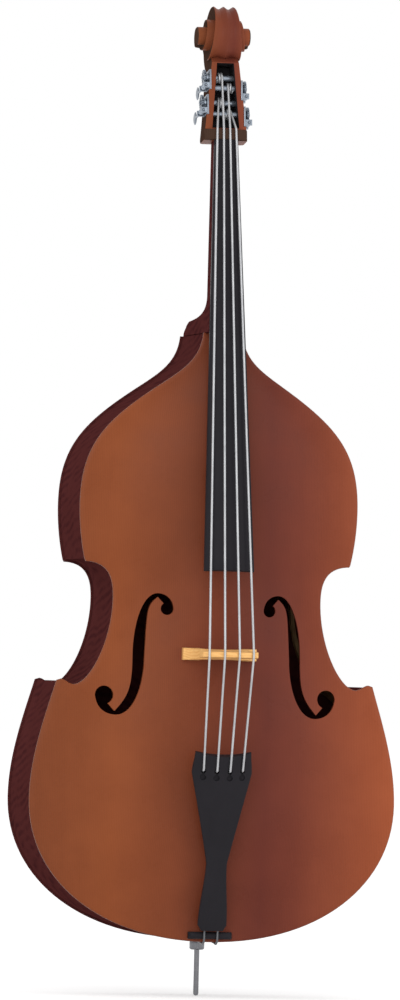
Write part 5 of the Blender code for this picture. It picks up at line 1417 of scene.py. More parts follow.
@dataclass
class Tuner:
    """One tuning machine: base, roller with gear and screw, and worm with its key.

    Places are in the neck's frame, measured out from the seat and from the roller's axis.
    """

    letter: str
    side: int
    rise: float
    head: Head
    back: float = 0.014
    roller_radius: float = 0.0055
    journal: float = 0.0036
    journal_room: Flat = (-0.003, 0.03)
    seat_depth: float = 0.007
    bore_sides: int = 40
    drum_sides: int = 48
    screw_sides: int = 36
    plate_screw_sides: int = 20
    lug_sides: int = 32
    base_thick: float = 0.003
    base_up: float = 0.012
    base_down: float = 0.0245
    base_depth: float = 0.020
    base_edge: float = 0.0004
    base_root: float = 0.001
    room_out: float = 0.08
    boss_radius: float = 0.008
    boss_length: float = 0.0045
    boss_edge: float = 0.0006
    plate_screw: tuple[Flat, ...] = ((-0.0015, 0.0017), (0.0003, 0.0017), (0.0008, 0.0013), (0.001, 0.0006))
    plate_groove: Triple = (0.0005, 0.0002, 0.002)
    plate_screws: tuple[Flat, ...] = ((-0.0162, 0.0085), (0.0162, 0.0085), (-0.0162, -0.003), (0.0162, -0.003))
    teeth: int = 20
    module: float = 0.0013
    gear_thick: float = 0.0038
    gear_edge: float = 0.00015
    gear_past: float = 0.002
    tooth: tuple[Flat, ...] = ((0.30, 0.00286), (0.24, 0.00236), (0.13, 0.0004), (0.09, 0.0))
    gear_dish: tuple[Flat, ...] = ((-0.0007, 0.0095), (0.002, 0.0102))
    gear_hub: tuple[Flat, ...] = ((-0.0015, 0.0056), (0.0, 0.0053))
    screw_radius: float = 0.0015
    screw_head: float = 0.0042
    screw_length: float = 0.007
    screw_dome: tuple[Flat, ...] = ((0.0012, 1.0), (0.0019, 0.88), (0.0025, 0.65), (0.0028, 0.4))
    screw_groove: tuple[float, ...] = (0.0016, 0.005, -0.00045, 0.00045, -0.006, 0.006)
    drum_far: tuple[Flat, ...] = ((0.0, 0.001), (0.0004, 0.0003), (0.001, 0.0))
    drum_near: tuple[Flat, ...] = ((0.0003, 0.0), (0.0, 0.0003))
    worm_radius: float = 0.0052
    worm_depth: float = 0.0029
    worm_turns: int = 3
    worm_shaft: float = 0.0022
    worm_points: int = 36
    worm_rings: int = 24
    worm_runout: int = 8
    worm_front: float = 0.0015
    worm_tip: tuple[Flat, ...] = ((0.0, 0.7), (0.0005, 0.92), (0.001, 1.0))
    worm_room: float = 0.04
    thread_half: float = 0.24
    thread_flank: float = 0.14
    lug_thick: float = 0.004
    lug_clear: float = 0.0012
    lug_wall: float = 0.003
    key_stem: float = 0.030
    key_root: float = 0.002
    key_rings: int = 14
    key_span: Flat = (0.10, 0.92)
    key_power: float = 0.55
    key_grow: Flat = (0.2, 3.0)
    key_tip: Flat = (0.86, 0.35)
    key_length: float = 0.022
    key_half: float = 0.012
    key_least: float = 0.0024
    key_thick: float = 0.0036

    @property
    def up(self) -> float:
        """Height of the roller's axis up the neck."""
        return LINE.nut_top + self.rise

    @property
    def seat(self) -> float:
        """Distance of the base's inner face from the middle."""
        return self.head.half(self.up + self.base_up + GAP)

    @property
    def gear_radius(self) -> float:
        """Radius over the teeth."""
        return self.module * (self.teeth + 2) / 2

    @property
    def gear_inner(self) -> float:
        """Distance of the gear's inner face from the seat."""
        return self.base_thick + self.boss_length + GAP

    @property
    def gear_outer(self) -> float:
        """Distance of the gear's outer face from the seat."""
        return self.gear_inner + self.gear_thick

    @property
    def far(self) -> float:
        """Distance of the roller's far end from the middle."""
        return self.head.slot_half(self.up) + self.seat_depth

    @property
    def lug_near(self) -> float:
        """Distance of a lug's inner face from the roller's axis."""
        return self.gear_radius + self.lug_clear

    @property
    def worm_offset(self) -> float:
        """Distance of the worm's axis below the roller's."""
        return self.module * self.teeth / 2 + self.worm_radius - self.module

    @property
    def worm_centre(self) -> Vector:
        """Middle of the worm."""
        out = self.seat + self.gear_inner + self.gear_thick / 2
        return Vector((self.side * out, self.back, self.up - self.worm_offset))

    def box(self, x0: float, x1: float, y0: float, y1: float, z0: float, z1: float) -> Shape:
        """A box between two places."""
        low, high = sorted((self.side * (self.seat + x0), self.side * (self.seat + x1)))
        return box_shape(Vector((low, self.back + y0, self.up + z0)), Vector((high, self.back + y1, self.up + z1)))

    def lathe(self, profile: Sequence[Flat], count: int, y: float = 0.0, z: float = 0.0) -> Shape:
        """A turned shape on an axis across the head.

        Args:
            profile: (distance out from the seat, radius) pairs.
            count: Points round a ring.
            y: Place behind the roller's axis.
            z: Place above it.

        Returns:
            The shape.
        """
        spots = [(self.side * (self.seat + x), r) for x, r in profile]
        return turned(spots, Axis.X, count, Vector((0, self.back + y, self.up + z)))

    def bore(self) -> Shape:
        """Room of the roller in the head."""
        ends = (self.base_thick, -self.seat - self.far - RUN)
        return self.lathe([(x, self.roller_radius + RUN) for x in ends], self.bore_sides)

    def room(self) -> Shape:
        """Room of the base plate at the cheek."""
        deep = self.base_depth + GAP
        return self.box(-GAP, self.room_out - self.seat, -deep, deep, -self.base_down - GAP, self.base_up + GAP)

    def base(self) -> None:
        """Base plate with a boss, two lugs and four fixing screws."""
        plate = self.box(0, self.base_thick, -self.base_depth, self.base_depth, -self.base_down, self.base_up)
        end = self.base_thick + self.boss_length
        boss = ((self.base_root, self.boss_radius), (end - self.boss_edge, self.boss_radius),
                (end, self.boss_radius - self.boss_edge))
        steps = [(Tool.JOIN, self.lathe(boss, self.bore_sides))]
        wall = self.worm_shaft + self.lug_wall
        reach = self.gear_inner + self.gear_thick / 2 + wall
        for y in (-self.lug_near - self.lug_thick, self.lug_near):
            lug = self.box(self.base_root, reach, y, y + self.lug_thick, -self.worm_offset - wall,
                           -self.worm_offset + wall)
            steps.append((Tool.JOIN, lug))
        shaft = [(x, self.journal + RUN) for x in self.journal_room]
        steps.append((Tool.CUT, self.lathe(shaft, self.bore_sides)))
        worm = [(y, self.worm_shaft + RUN) for y in (-self.worm_room, self.worm_room)]
        steps.append((Tool.CUT, turned(worm, Axis.Y, self.lug_sides, self.worm_centre)))
        finished(f"base_{self.letter}", plate, TUNER_STEEL, "body", f"tuner_base_{self.letter}", place=IN_NECK,
                 steps=steps, edge=self.base_edge)
        face = self.base_thick
        profile = [(face + out, radius) for out, radius in self.plate_screw]
        out, wide, long = self.plate_groove
        for number, (y, z) in enumerate(self.plate_screws):
            groove = self.box(face + out, face + long, y - wide, y + wide, z - long, z + long)
            shape = self.lathe(profile, self.plate_screw_sides, y, z)
            finished(f"plate_screw_{self.letter}_{number}", shape, TUNER_STEEL, "body", place=IN_NECK,
                     steps=[(Tool.CUT, groove)])

    def gear_outline(self) -> list[Flat]:
        """Teeth with wide gaps, one gap straight down.

        Returns:
            Points round the wheel.
        """
        pitch = math.tau / self.teeth
        flank = [(-part, drop) for part, drop in self.tooth] + list(reversed(self.tooth))
        points = []
        for i in range(self.teeth):
            middle = -math.pi / 2 + pitch * (i + 0.5)
            for part, drop in flank:
                points += spots_on([middle + part * pitch], self.gear_radius - drop)
        return points

    def gear(self) -> None:
        """The gear wheel with a round recess in its face."""
        inner, out = self.gear_inner, self.gear_outer
        bore = self.journal + GAP

        def place(y: float, z: float, x: float) -> Vector:
            """A point of the wheel's plane at a distance from the middle."""
            return Vector((self.side * x, self.back + y, self.up + z))

        wheel = slab([self.gear_outline(), circle(bore, self.bore_sides)], place, self.seat + inner, self.seat + out)
        dish, hub = ([(out + x, radius) for x, radius in part] for part in (self.gear_dish, self.gear_hub))
        hole = ((inner - self.gear_past, bore), (out + self.gear_past, bore))
        steps = [(Tool.CUT, self.lathe(dish, self.drum_sides)), (Tool.JOIN, self.lathe(hub, self.drum_sides)),
                 (Tool.CUT, self.lathe(hole, self.bore_sides))]
        finished(f"gear_{self.letter}", wheel, TUNER_STEEL, f"roller_{self.letter}", f"tuner_gear_{self.letter}",
                 place=IN_NECK, steps=steps, edge=self.gear_edge, facets=1)

    def roller(self) -> None:
        """The roller, journalled in the base, with the screw that holds its gear."""
        end, far, stop = self.gear_outer, -self.seat - self.far, -RUN - GAP
        wide, thin, bore = self.roller_radius, self.journal, self.screw_radius + GAP
        drum = [(far + x, wide - less) for x, less in self.drum_far] + [(stop, wide), (stop, thin)]
        drum += [(end - x, thin - less) for x, less in self.drum_near]
        drum += [(end, bore), (end - self.screw_length - GAP, bore)]
        rides = f"roller_{self.letter}"
        finished(f"drum_{self.letter}", self.lathe(drum, self.drum_sides), TUNER_STEEL, rides,
                 f"tuner_roller_{self.letter}", place=IN_NECK)
        screw = [(end - self.screw_length, self.screw_radius), (end + GAP, self.screw_radius),
                 (end + GAP, self.screw_head)]
        screw += [(end + x, self.screw_head * share) for x, share in self.screw_dome]
        near, out, *sides = self.screw_groove
        groove = self.box(end + near, end + out, *sides)
        finished(f"screw_{self.letter}", self.lathe(screw, self.screw_sides), TUNER_STEEL, rides,
                 f"tuner_screw_{self.letter}", place=IN_NECK, steps=[(Tool.CUT, groove)])

    def worm_reach(self, along: float, angle: float) -> float:
        """Height of the thread over the worm's core.

        Args:
            along: Place along the axis.
            angle: Angle round it.

        Returns:
            The height.
        """
        phase = (along / (math.pi * self.module) - self.side * angle / math.tau + 0.5) % 1.0
        return self.worm_depth * held((self.thread_half - abs(phase - 0.5)) / self.thread_flank)

    def worm(self) -> None:
        """The worm on its shaft with a flat thumb key."""
        half = self.worm_turns * math.pi * self.module / 2
        back = self.lug_near + self.lug_thick
        front = -back - self.worm_front
        centre, shaft = self.worm_centre, self.worm_shaft
        turns = evenly(0, math.tau, self.worm_points)[:-1]
        quarter = math.pi / 2
        rings = []

        def ring(along: float, wide: float, deep: float) -> None:
            """Adds a flattened ring."""
            rings.append([centre + Vector((deep * math.cos(a + quarter), along, wide * math.sin(a + quarter)))
                          for a in turns])

        for along, share in self.worm_tip:
            ring(front + along, shaft * share, shaft * share)
        ring(-half, shaft, shaft)
        steps = self.worm_rings * self.worm_turns
        core = self.worm_radius - self.worm_depth
        for i in range(steps + 1):
            along = -half + 2 * half * i / steps
            ends = min(1.0, min(i, steps - i) / self.worm_runout)
            reach = [core + self.worm_reach(along, a) * ends for a in turns]
            rings.append([centre + Vector((r * math.cos(a + quarter), along, r * math.sin(a + quarter)))
                          for r, a in zip(reach, turns)])
        for along in (half, back + self.key_stem - self.key_root):
            ring(along, shaft, shaft)
        first, slope = self.key_grow
        tip, thinned = self.key_tip
        for share, place in zip(evenly(0, 1, self.key_rings), evenly(*self.key_span, self.key_rings)):
            wide = self.key_half * math.sin(math.pi * place) ** self.key_power
            wide *= smooth_step(min(1.0, first + share * slope))
            deep = self.key_thick / 2 * (1.0 - thinned * max(0.0, share - tip) / (1.0 - tip))
            ring(back + self.key_stem + self.key_length * share, max(wide, self.key_least), deep)
        finished(f"worm_{self.letter}", loft(rings), TUNER_STEEL, f"worm_{self.letter}", f"tuner_worm_{self.letter}",
                 place=IN_NECK)

    def build(self) -> None:
        """Builds the machine's pieces."""
        self.base()
        self.gear()
        self.roller()
        self.worm()


BEND_SHARE = 0.45


def softened(points: Sequence[Vector], reach: float, steps: int = 6) -> list[Vector]:
    """Rounds the bends of a line of points.

    Args:
        points: The line.
        reach: Longest length of a side that a bend takes.
        steps: Points in a bend.

    Returns:
        The line with rounded bends.
    """
    line = [points[0]]
    for before, bend, after in zip(points, points[1:], points[2:]):
        a, b = (bend + (end - bend).normalized() * min(reach, (end - bend).length * BEND_SHARE)
                for end in (before, after))
        line += [a.lerp(bend, t).lerp(bend.lerp(b, t), t) for t in evenly(0, 1, steps)]
    return line + [points[-1]]


@dataclass
class Rig:
    """Strings, bridge, tailpiece, tail wire and saddle."""

    string_radius: float = 0.0021
    string_sides: int = 18
    string_bend: float = 0.0015
    string_in: Flat = (0.001, 0.0003)
    string_out: tuple[Flat, ...] = ((0.0005, 0.0022), (0.0, 0.006))
    nut_spacing: float = 0.0114
    bridge_spacing: float = 0.0268
    tail_spacing: float = 0.0238
    action: float = 0.007
    wind_starts: tuple[float, ...] = (-0.011, -0.0045, 0.0065, 0.011)
    wind_ways: tuple[int, ...] = (1, -1, 1, -1)
    wind_pitch: float = 0.0048
    wind_turns: float = 1.3
    wind_points: int = 64
    wrap_turns: float = 0.5
    wind_break: float = 0.075
    bridge_rise: float = 0.518
    bridge_radius: float = 0.110
    bridge_edge: float = 0.0009
    foot_half: float = 0.067
    foot_width: float = 0.031
    top_half: float = 0.050
    bridge_flank: tuple[tuple, ...] = ((14, (0.054, 0.72), (0.055, 0.66), (0.043, 0.56)),
                                       (18, (0.021, 0.52), (0.023, 0.40), (0.043, 0.37)),
                                       (14, (0.049, 0.20), (0.055, 0.12), (0.067, 0.07)))
    bridge_arch: tuple[Flat, ...] = ((0.036, 0.07), (0.034, 0.17), (0.018, 0.24), (0.0, 0.24))
    bridge_heart: tuple[Flat, ...] = ((0.0, 0.40), (0.016, 0.52), (0.013, 0.66), (0.0, 0.60))
    bridge_taper: float = 1.1
    crown_steps: int = 24
    foot_steps: int = 8
    arch_steps: int = 14
    foot_thick: float = 0.022
    top_thick: float = 0.009
    saddle_half: float = 0.040
    saddle_low: float = 0.006
    saddle_high: float = 0.0185
    saddle_proud: float = 0.011
    saddle_end: float = 0.008
    saddle_fall: float = 0.006
    saddle_nose: float = 0.004
    saddle_power: float = 2.2
    saddle_steps: int = 40
    nose_steps: int = 12
    tail_length: float = 0.330
    tail_above: float = 0.008
    tail_halves: tuple[Flat, ...] = ((0.0, 0.02), (0.03, 0.026), (0.38, 0.0185), (0.88, 0.0545), (1.0, 0.0505))
    tail_shares: tuple[float, ...] = (0.0, 0.006, 0.015, 0.03, *evenly(0.03, 0.88, 34)[1:], 0.92, 0.96, 1.0)
    tail_flare: float = 1.05
    tail_over: int = 32
    tail_under: int = 16
    scoop_sides: int = 180
    keyhole_sides: int = 36
    seat_sides: int = 28
    tail_belly: float = 2.5
    tail_crown: float = 0.110
    tail_thick: float = 0.018
    tail_edge: float = 0.006
    tail_round: float = 0.0012
    tail_angle: float = 42.0
    tail_scoop: float = 0.006
    keyhole_below: float = 0.034
    keyhole_radius: float = 0.0045
    keyhole_wide: float = 0.0056
    keyhole_drop: float = 0.0115
    keyhole_slit: float = 0.0022
    keyhole_depth: float = 0.0045
    wire_radius: float = 0.002
    wire_half: float = 0.012
    wire_seat: float = 0.016
    wire_sides: int = 16
    wire_bend: float = 0.003
    wire_ease: float = 0.003
    wire_slack: float = 0.001
    wire_tuck: float = 0.013
    wire_steps: int = 24
    wire_bend_steps: int = 4
    wire_lead: float = 1.5
    collar_neck: float = 0.0105
    overhang: float = 0.005
    clear: float = 0.02

    @property
    def face_out(self) -> float:
        """Depth of the front's edge face."""
        return PLATE_PLANE + PLATE_THICK

    @property
    def tail_top(self) -> float:
        """Height of the tailpiece's upper end in its own frame."""
        return self.tail_above + self.tail_length

    @property
    def tail_depth(self) -> float:
        """Depth of the tailpiece's middle behind the string line."""
        return self.string_radius + 3 * GAP + self.tail_thick / 2

    @staticmethod
    def across(letter: str, spacing: float) -> float:
        """Place across of a string at a spacing."""
        return spacing * (LETTERS.index(letter) - 1.5)

    def nut_out(self, x: float) -> float:
        """Height of a string's centre over the nut's place."""
        return LINE.nut_height(x) + self.string_radius + GAP

    def crown(self) -> Vector:
        """Place of the middle string line over the bridge.

        Returns:
            The place.
        """
        nut = LINE.point(0, self.nut_out(0), LINE.nut_top)
        low = -LINE.board_below
        end = LINE.point(0, LINE.board_height(0, low) + self.action + self.string_radius, low)
        return nut.lerp(end, (BODY_LOW + self.bridge_rise - nut.z) / (end.z - nut.z))

    def bridge_spot(self, x: float) -> Vector:
        """Place of a string's centre on the bridge's crown."""
        crown = self.crown()
        return Vector((x, crown.y + self.bridge_radius - math.sqrt(self.bridge_radius**2 - x * x), crown.z))

    def crest(self) -> Vector:
        """Centre of the tail wire over the saddle."""
        out = self.face_out + self.saddle_proud + self.wire_radius + GAP
        return Vector((0, -out, BODY_LOW + (self.saddle_low + self.saddle_high) / 2))

    def tail_matrix(self) -> Matrix:
        """Turn and place of the tailpiece's frame, which points to the bridge.

        Returns:
            The frame's matrix.
        """
        start = self.crest() - Vector((0, self.string_radius + self.tail_thick / 2, 0))
        along = (self.crown() - start).normalized()
        return Matrix.Translation(start) @ Matrix.Rotation(math.atan2(-along.y, along.z), 4, "X")

    def tail_face(self, x: float) -> float:
        """Depth of the tailpiece's crowned face behind the string line."""
        return self.string_radius + 3 * GAP + self.tail_crown - math.sqrt(self.tail_crown**2 - x * x)

    def turn_point(self, tuner: Tuner, turns: float) -> Vector:
        """Place of a string after turns round its roller from where it lands.

        Args:
            tuner: The tuning machine.
            turns: Turns round the roller.

        Returns:
            The place.
        """
        index = LETTERS.index(tuner.letter)
        centre = Vector((-tuner.back, tuner.up))
        line = Vector((self.nut_out(self.across(tuner.letter, self.nut_spacing)), LINE.nut_top)) - centre
        radius = tuner.roller_radius + self.string_radius + GAP
        angle = math.atan2(line.y, line.x) + math.acos(radius / line.length) + math.tau * turns
        x = self.wind_starts[index] + self.wind_ways[index] * self.wind_pitch * turns
        return LINE.point(x, centre.x + radius * math.cos(angle), centre.y + radius * math.sin(angle))

    def turn_line(self, tuner: Tuner, first: float, turns: float) -> list[Vector]:
        """Part of a string that lies on its roller."""
        steps = round(self.wind_points * turns)
        return [self.turn_point(tuner, turn) for turn in evenly(first, first + turns, steps)]

    def string(self, tuner: Tuner) -> None:
        """One string from its keyhole to its roller, with the turns on the roller.

        Args:
            tuner: The tuning machine that the string winds on.
        """
        letter = tuner.letter
        tail = self.tail_matrix()
        x = self.across(letter, self.tail_spacing)
        hole = self.tail_top - self.keyhole_below
        face = self.tail_face(x)
        run = face - self.string_radius - GAP
        spots = [(face + y, hole + up) for y, up in ((self.tail_edge, 0.0), self.string_in)]
        spots += [(run + y, hole + up) for y, up in self.string_out]
        points = [tail @ Vector((x, y, up)) for y, up in spots]
        over = self.bridge_spot(self.across(letter, self.bridge_spacing))
        edge = Vector((0, 0, self.top_thick / 2 + GAP))
        nut_x = self.across(letter, self.nut_spacing)
        nut = LINE.point(nut_x, self.nut_out(nut_x), LINE.nut_top)
        wrap = self.turn_line(tuner, 0.0, self.wrap_turns)
        line = softened(points + [over - edge, over + edge, nut, wrap[0]], self.string_bend)[:-1] + wrap
        turns = self.turn_line(tuner, self.wrap_turns + self.wind_break, self.wind_turns)
        size = self.string_radius, self.string_sides
        finished(f"wire_{letter}", cord(line, *size), STRING_WIRE, "body", f"string_{letter}")
        finished(f"wire_turns_{letter}", cord(turns, *size), STRING_WIRE, f"roller_{letter}",
                 f"string_winding_{letter}")

    def bridge(self, front: Piece) -> None:
        """The bridge with its crown, kidneys, heart, arch and two fitted feet.

        Args:
            front: The front that the feet stand on.
        """
        z = BODY_LOW + self.bridge_rise

        def sole(x: float) -> float:
            """Depth of the front's face under a foot."""
            starts = [Vector((x, -0.4, z + part * self.foot_thick / 2)) for part in (-1.0, 0.0, 1.0)]
            return min(front.ray_cast(start, Vector((0, 1, 0)))[1].y for start in starts) - GAP

        foot = sole(0.0)
        tall = self.bridge_spot(0).y - foot

        def at(spots: Sequence[Flat]) -> list[Flat]:
            """Points at shares of the bridge's height."""
            return [(x, foot + share * tall) for x, share in spots]

        half = [(x, self.bridge_spot(x).y + self.string_radius + GAP)
                for x in evenly(0, self.top_half, self.crown_steps)]
        for steps, *spots in self.bridge_flank:
            half = chain(half, bezier(steps, half[-1], *at(spots)))
        half += [(x, sole(x)) for x in evenly(self.foot_half, self.foot_half - self.foot_width, self.foot_steps)]
        half += bezier(self.arch_steps, *at(self.bridge_arch))
        loops = [mirrored(half), mirrored(bezier(self.arch_steps, *at(self.bridge_heart)))]
        shape = slab(loops, lambda x, y, part: Vector((x, y, part)), -0.5, 0.5)
        for vert in shape.verts:
            share = min(1.0, held((vert.co.y - foot) / tall) * self.bridge_taper)
            vert.co.z = z + vert.co.z * (self.foot_thick + (self.top_thick - self.foot_thick) * share)
        finished("bridge_plate", shape, BRIDGE_MAPLE, "body", "bridge", edge=self.bridge_edge)

    def tail_half(self, share: float) -> float:
        """Half width of the tailpiece at a share of its length from its lower end."""
        before, after, part = between(self.tail_halves, share)
        return before + (after - before) * (smooth_step(part) if after < before else part**self.tail_flare)

    def tailpiece(self) -> None:
        """The crowned tailpiece with its keyholes and its seats for the wire."""
        rings = []
        back = self.tail_depth + self.tail_thick / 2
        for share in self.tail_shares:
            half = self.tail_half(share)
            up = self.tail_above + share * self.tail_length
            edge = self.tail_face(half) + self.tail_edge
            deep = max(0.0, back - edge)
            under = [(x, edge + deep * max(0.0, 1 - abs(x / half) ** self.tail_belly))
                     for x in evenly(half, -half, self.tail_under)]
            rings.append([Vector((x, self.tail_face(x), up)) for x in evenly(-half, half, self.tail_over)]
                         + [Vector((x, y, up)) for x, y in under])
        bend = (self.tail_half(1.0) ** 2 + self.tail_scoop**2) / (2 * self.tail_scoop)
        centre = Vector((0, 0, self.tail_top - self.tail_scoop + bend))
        tools = [turned(((-self.clear, bend), (3 * self.clear, bend)), Axis.Y, self.scoop_sides, centre)]
        for letter in LETTERS:
            centre = Vector((self.across(letter, self.tail_spacing), 0, self.tail_top - self.keyhole_below))
            deep = self.tail_face(centre.x) + self.keyhole_depth
            drop = centre - Vector((0, 0, self.keyhole_drop))
            for spot, radius, end in ((centre, self.keyhole_radius, deep + self.string_radius),
                                      (drop, self.keyhole_wide, deep)):
                tools.append(turned(((-self.clear, radius), (end, radius)), Axis.Y, self.keyhole_sides, spot))
            tools.append(box_shape(drop + Vector((-self.keyhole_slit, -self.clear, 0)),
                                   centre + Vector((self.keyhole_slit, deep - GAP, 0))))
        ends = (-self.clear, self.tail_above + self.wire_seat + GAP)
        for side in Side:
            centre = Vector((side.value * self.wire_half, self.tail_depth, 0))
            tools.append(turned([(up, self.wire_radius + GAP) for up in ends], Axis.Z, self.seat_sides, centre))
        finished("tail_plate", loft(rings), EBONY, "body", "tailpiece", place=self.tail_matrix(),
                 steps=[(Tool.CUT, tool) for tool in tools], edge=self.tail_round, facets=3, angle=self.tail_angle)

    def wire(self) -> None:
        """The loop from the tailpiece over the saddle and round the endpin's collar."""
        crest, tail, half = self.crest(), self.tail_matrix(), self.wire_half
        edge = BODY_LOW - self.wire_radius - GAP
        under = edge + self.overhang
        ring = self.collar_neck + self.wire_radius + GAP
        ends = [tail @ Vector((half, self.tail_depth, up))
                for up in (self.tail_above + self.wire_seat, self.tail_above / 2)]
        ease, slack = self.wire_ease, self.wire_slack
        spots = ((half, crest.y, crest.z + ease), (half, crest.y, crest.z - ease),
                 (half, crest.y + ease, BODY_LOW + slack), (half, -self.face_out, edge - slack),
                 (half, -self.face_out + self.wire_tuck, edge + slack), (ring, -self.face_out / 2, under - slack),
                 (ring, -ring * self.wire_lead, under))
        right = ends + [Vector(spot) for spot in spots]
        turn = [Vector((x, y, under)) for x, y in spots_on(evenly(0, math.pi, self.wire_steps), ring)]
        left = [Vector((-p.x, p.y, p.z)) for p in reversed(right)]
        line = softened(right + turn + left, self.wire_bend, self.wire_bend_steps)
        finished("tail_loop", cord(line, self.wire_radius, self.wire_sides), TAIL_CABLE, "body", "tail_wire")

    def saddle(self) -> None:
        """A rounded bar let into the lower edge of the front."""
        back, proud = -PLATE_PLANE, -(self.face_out + self.saddle_proud)
        low, high = BODY_LOW + self.saddle_low, BODY_LOW + self.saddle_high
        rings = []
        for x in evenly(-self.saddle_half, self.saddle_half, self.saddle_steps):
            ease = max(0.0, (abs(x) - self.saddle_half + self.saddle_end) / self.saddle_end)
            face = proud + self.saddle_fall * ease**self.saddle_power
            nose = [(face + self.saddle_nose * (1 - math.sin(a)), (low + high) / 2 - (high - low) / 2 * math.cos(a))
                    for a in evenly(0, math.pi, self.nose_steps)]
            ends = [(back, low), (face + self.saddle_nose, low)], [(face + self.saddle_nose, high), (back, high)]
            rings.append([Vector((x, y, z)) for y, z in dict.fromkeys(ends[0] + nose + ends[1])])
        finished("saddle_bar", loft(rings), EBONY, "body", "saddle")

    def build(self, front: Piece, tuners: Sequence[Tuner]) -> None:
        """Builds the strings and what holds them.

        Args:
            front: The front that the bridge stands on.
            tuners: The tuning machines.
        """
        for tuner in tuners:
            self.string(tuner)
        self.bridge(front)
        self.tailpiece()
        self.wire()
        self.saddle()


@dataclass
class Endpin:
    """Collar with its plug, the sliding rod and the thumbscrew that clamps it."""

    reach: float = 0.083
    radius: float = 0.0048
    inside: float = 0.190
    flange: float = 0.0165
    neck: float = 0.0055
    collar_radius: float = 0.0136
    neck_radius: float = 0.0105
    bevel: float = 0.003
    collar_low: tuple[Flat, ...] = ((0.0, 0.003), (0.0005, 0.0019), (0.0015, 0.0006), (0.003, 0.0))
    collar_high: tuple[Flat, ...] = ((0.0035, 0.0), (0.0031, 0.0005), (0.0026, 0.0005), (0.0022, 0.0), (0.0006, 0.0),
                                     (0.0, 0.0006))
    collar_sides: int = 64
    rod_sides: int = 40
    rod_low: tuple[Flat, ...] = ((0.0, 0.0026), (0.0006, 0.0015), (0.0018, 0.0006), (0.004, 0.0))
    rod_high: tuple[Flat, ...] = ((0.004, 0.0), (0.001, 0.0008), (0.0, 0.002))
    plug_radius: float = 0.0125
    plug_taper: float = 0.001
    plug_length: float = 0.036
    thumb_radius: float = 0.0045
    thumb_shank: float = 0.0018
    thumb_length: float = 0.007
    thumb_room: Flat = (0.0, 0.03)
    thumb_sides: int = 28
    thumb_low: tuple[Triple, ...] = ((0.0, 0.001, 0.3), (0.001, 0.0, 1.0))
    thumb_high: tuple[Triple, ...] = ((0.001, 0.0, 1.0), (0.0003, 0.0004, 0.6), (0.0, 0.001, 0.2))
    thumb_flutes: int = 12
    thumb_flute: float = 0.0004
    thumb_points: int = 72

    @property
    def neck_top(self) -> float:
        """Height of the plug's foot."""
        return self.reach + self.flange + self.neck - GAP

    @property
    def plug_top(self) -> float:
        """Height of the plug's end."""
        return self.neck_top + self.plug_length

    @property
    def middle(self) -> float:
        """Height of the thumbscrew's axis."""
        return self.reach + (self.flange + self.bevel) / 2

    def collar(self) -> None:
        """The turned collar with its tapered plug and the thumbscrew's hole."""
        low, flange, neck, top = self.reach, self.reach + self.flange, self.neck_top, self.plug_top
        bore, wide = self.radius + RUN, self.collar_radius
        profile = [(low, bore)] + [(low + rise, wide - less) for rise, less in self.collar_low]
        profile += [(flange - drop, wide - less) for drop, less in self.collar_high]
        profile += [(flange, self.neck_radius), (neck, self.neck_radius), (neck, self.plug_radius),
                    (top, self.plug_radius - self.plug_taper), (top, bore)]
        shank = [(y, self.thumb_shank + RUN) for y in self.thumb_room]
        hole = turned(shank, Axis.Y, self.thumb_sides, Vector((0, 0, self.middle)))
        finished("collar_turned", turned(profile, Axis.Z, self.collar_sides, closed=True), ENDPIN_STEEL, "body",
                 "endpin_collar", steps=[(Tool.CUT, hole)])

    def rod(self) -> None:
        """The sliding rod with a rounded tip."""
        top, wide = self.plug_top + self.inside, self.radius
        profile = [(rise, wide - less) for rise, less in self.rod_low]
        profile += [(top - drop, wide - less) for drop, less in self.rod_high]
        finished("rod_turned", turned(profile, Axis.Z, self.rod_sides), ENDPIN_STEEL, "endpin", "endpin_rod")

    def thumbscrew(self) -> None:
        """The thumbscrew with a fluted head."""
        head, wide = self.collar_radius + GAP, self.thumb_radius
        end = head + self.thumb_length
        profile = [(self.radius + GAP, self.thumb_shank, 0.0), (head, self.thumb_shank, 0.0)]
        profile += [(head + rise, wide - less, depth) for rise, less, depth in self.thumb_low]
        profile += [(end - drop, wide - less, depth) for drop, less, depth in self.thumb_high]
        rings = []
        for along, radius, depth in profile:
            ring = []
            for a in evenly(0, math.tau, self.thumb_points)[:-1]:
                r = radius - self.thumb_flute * depth * (0.5 - 0.5 * math.cos(self.thumb_flutes * a))
                ring.append(Vector((r * math.cos(a), along, self.middle + r * math.sin(a))))
            rings.append(ring)
        finished("thumbscrew_turned", loft(rings), ENDPIN_STEEL, "thumbscrew", "endpin_thumbscrew")

    def build(self) -> None:
        """Builds the endpin's pieces."""
        self.collar()
        self.rod()
        self.thumbscrew()


WHITE = (1.0, 1.0, 1.0, 1.0)
MACHINES = {"e": (-1, 0.0519), "a": (-1, 0.0982), "d": (1, 0.0794), "g": (1, 0.0314)}


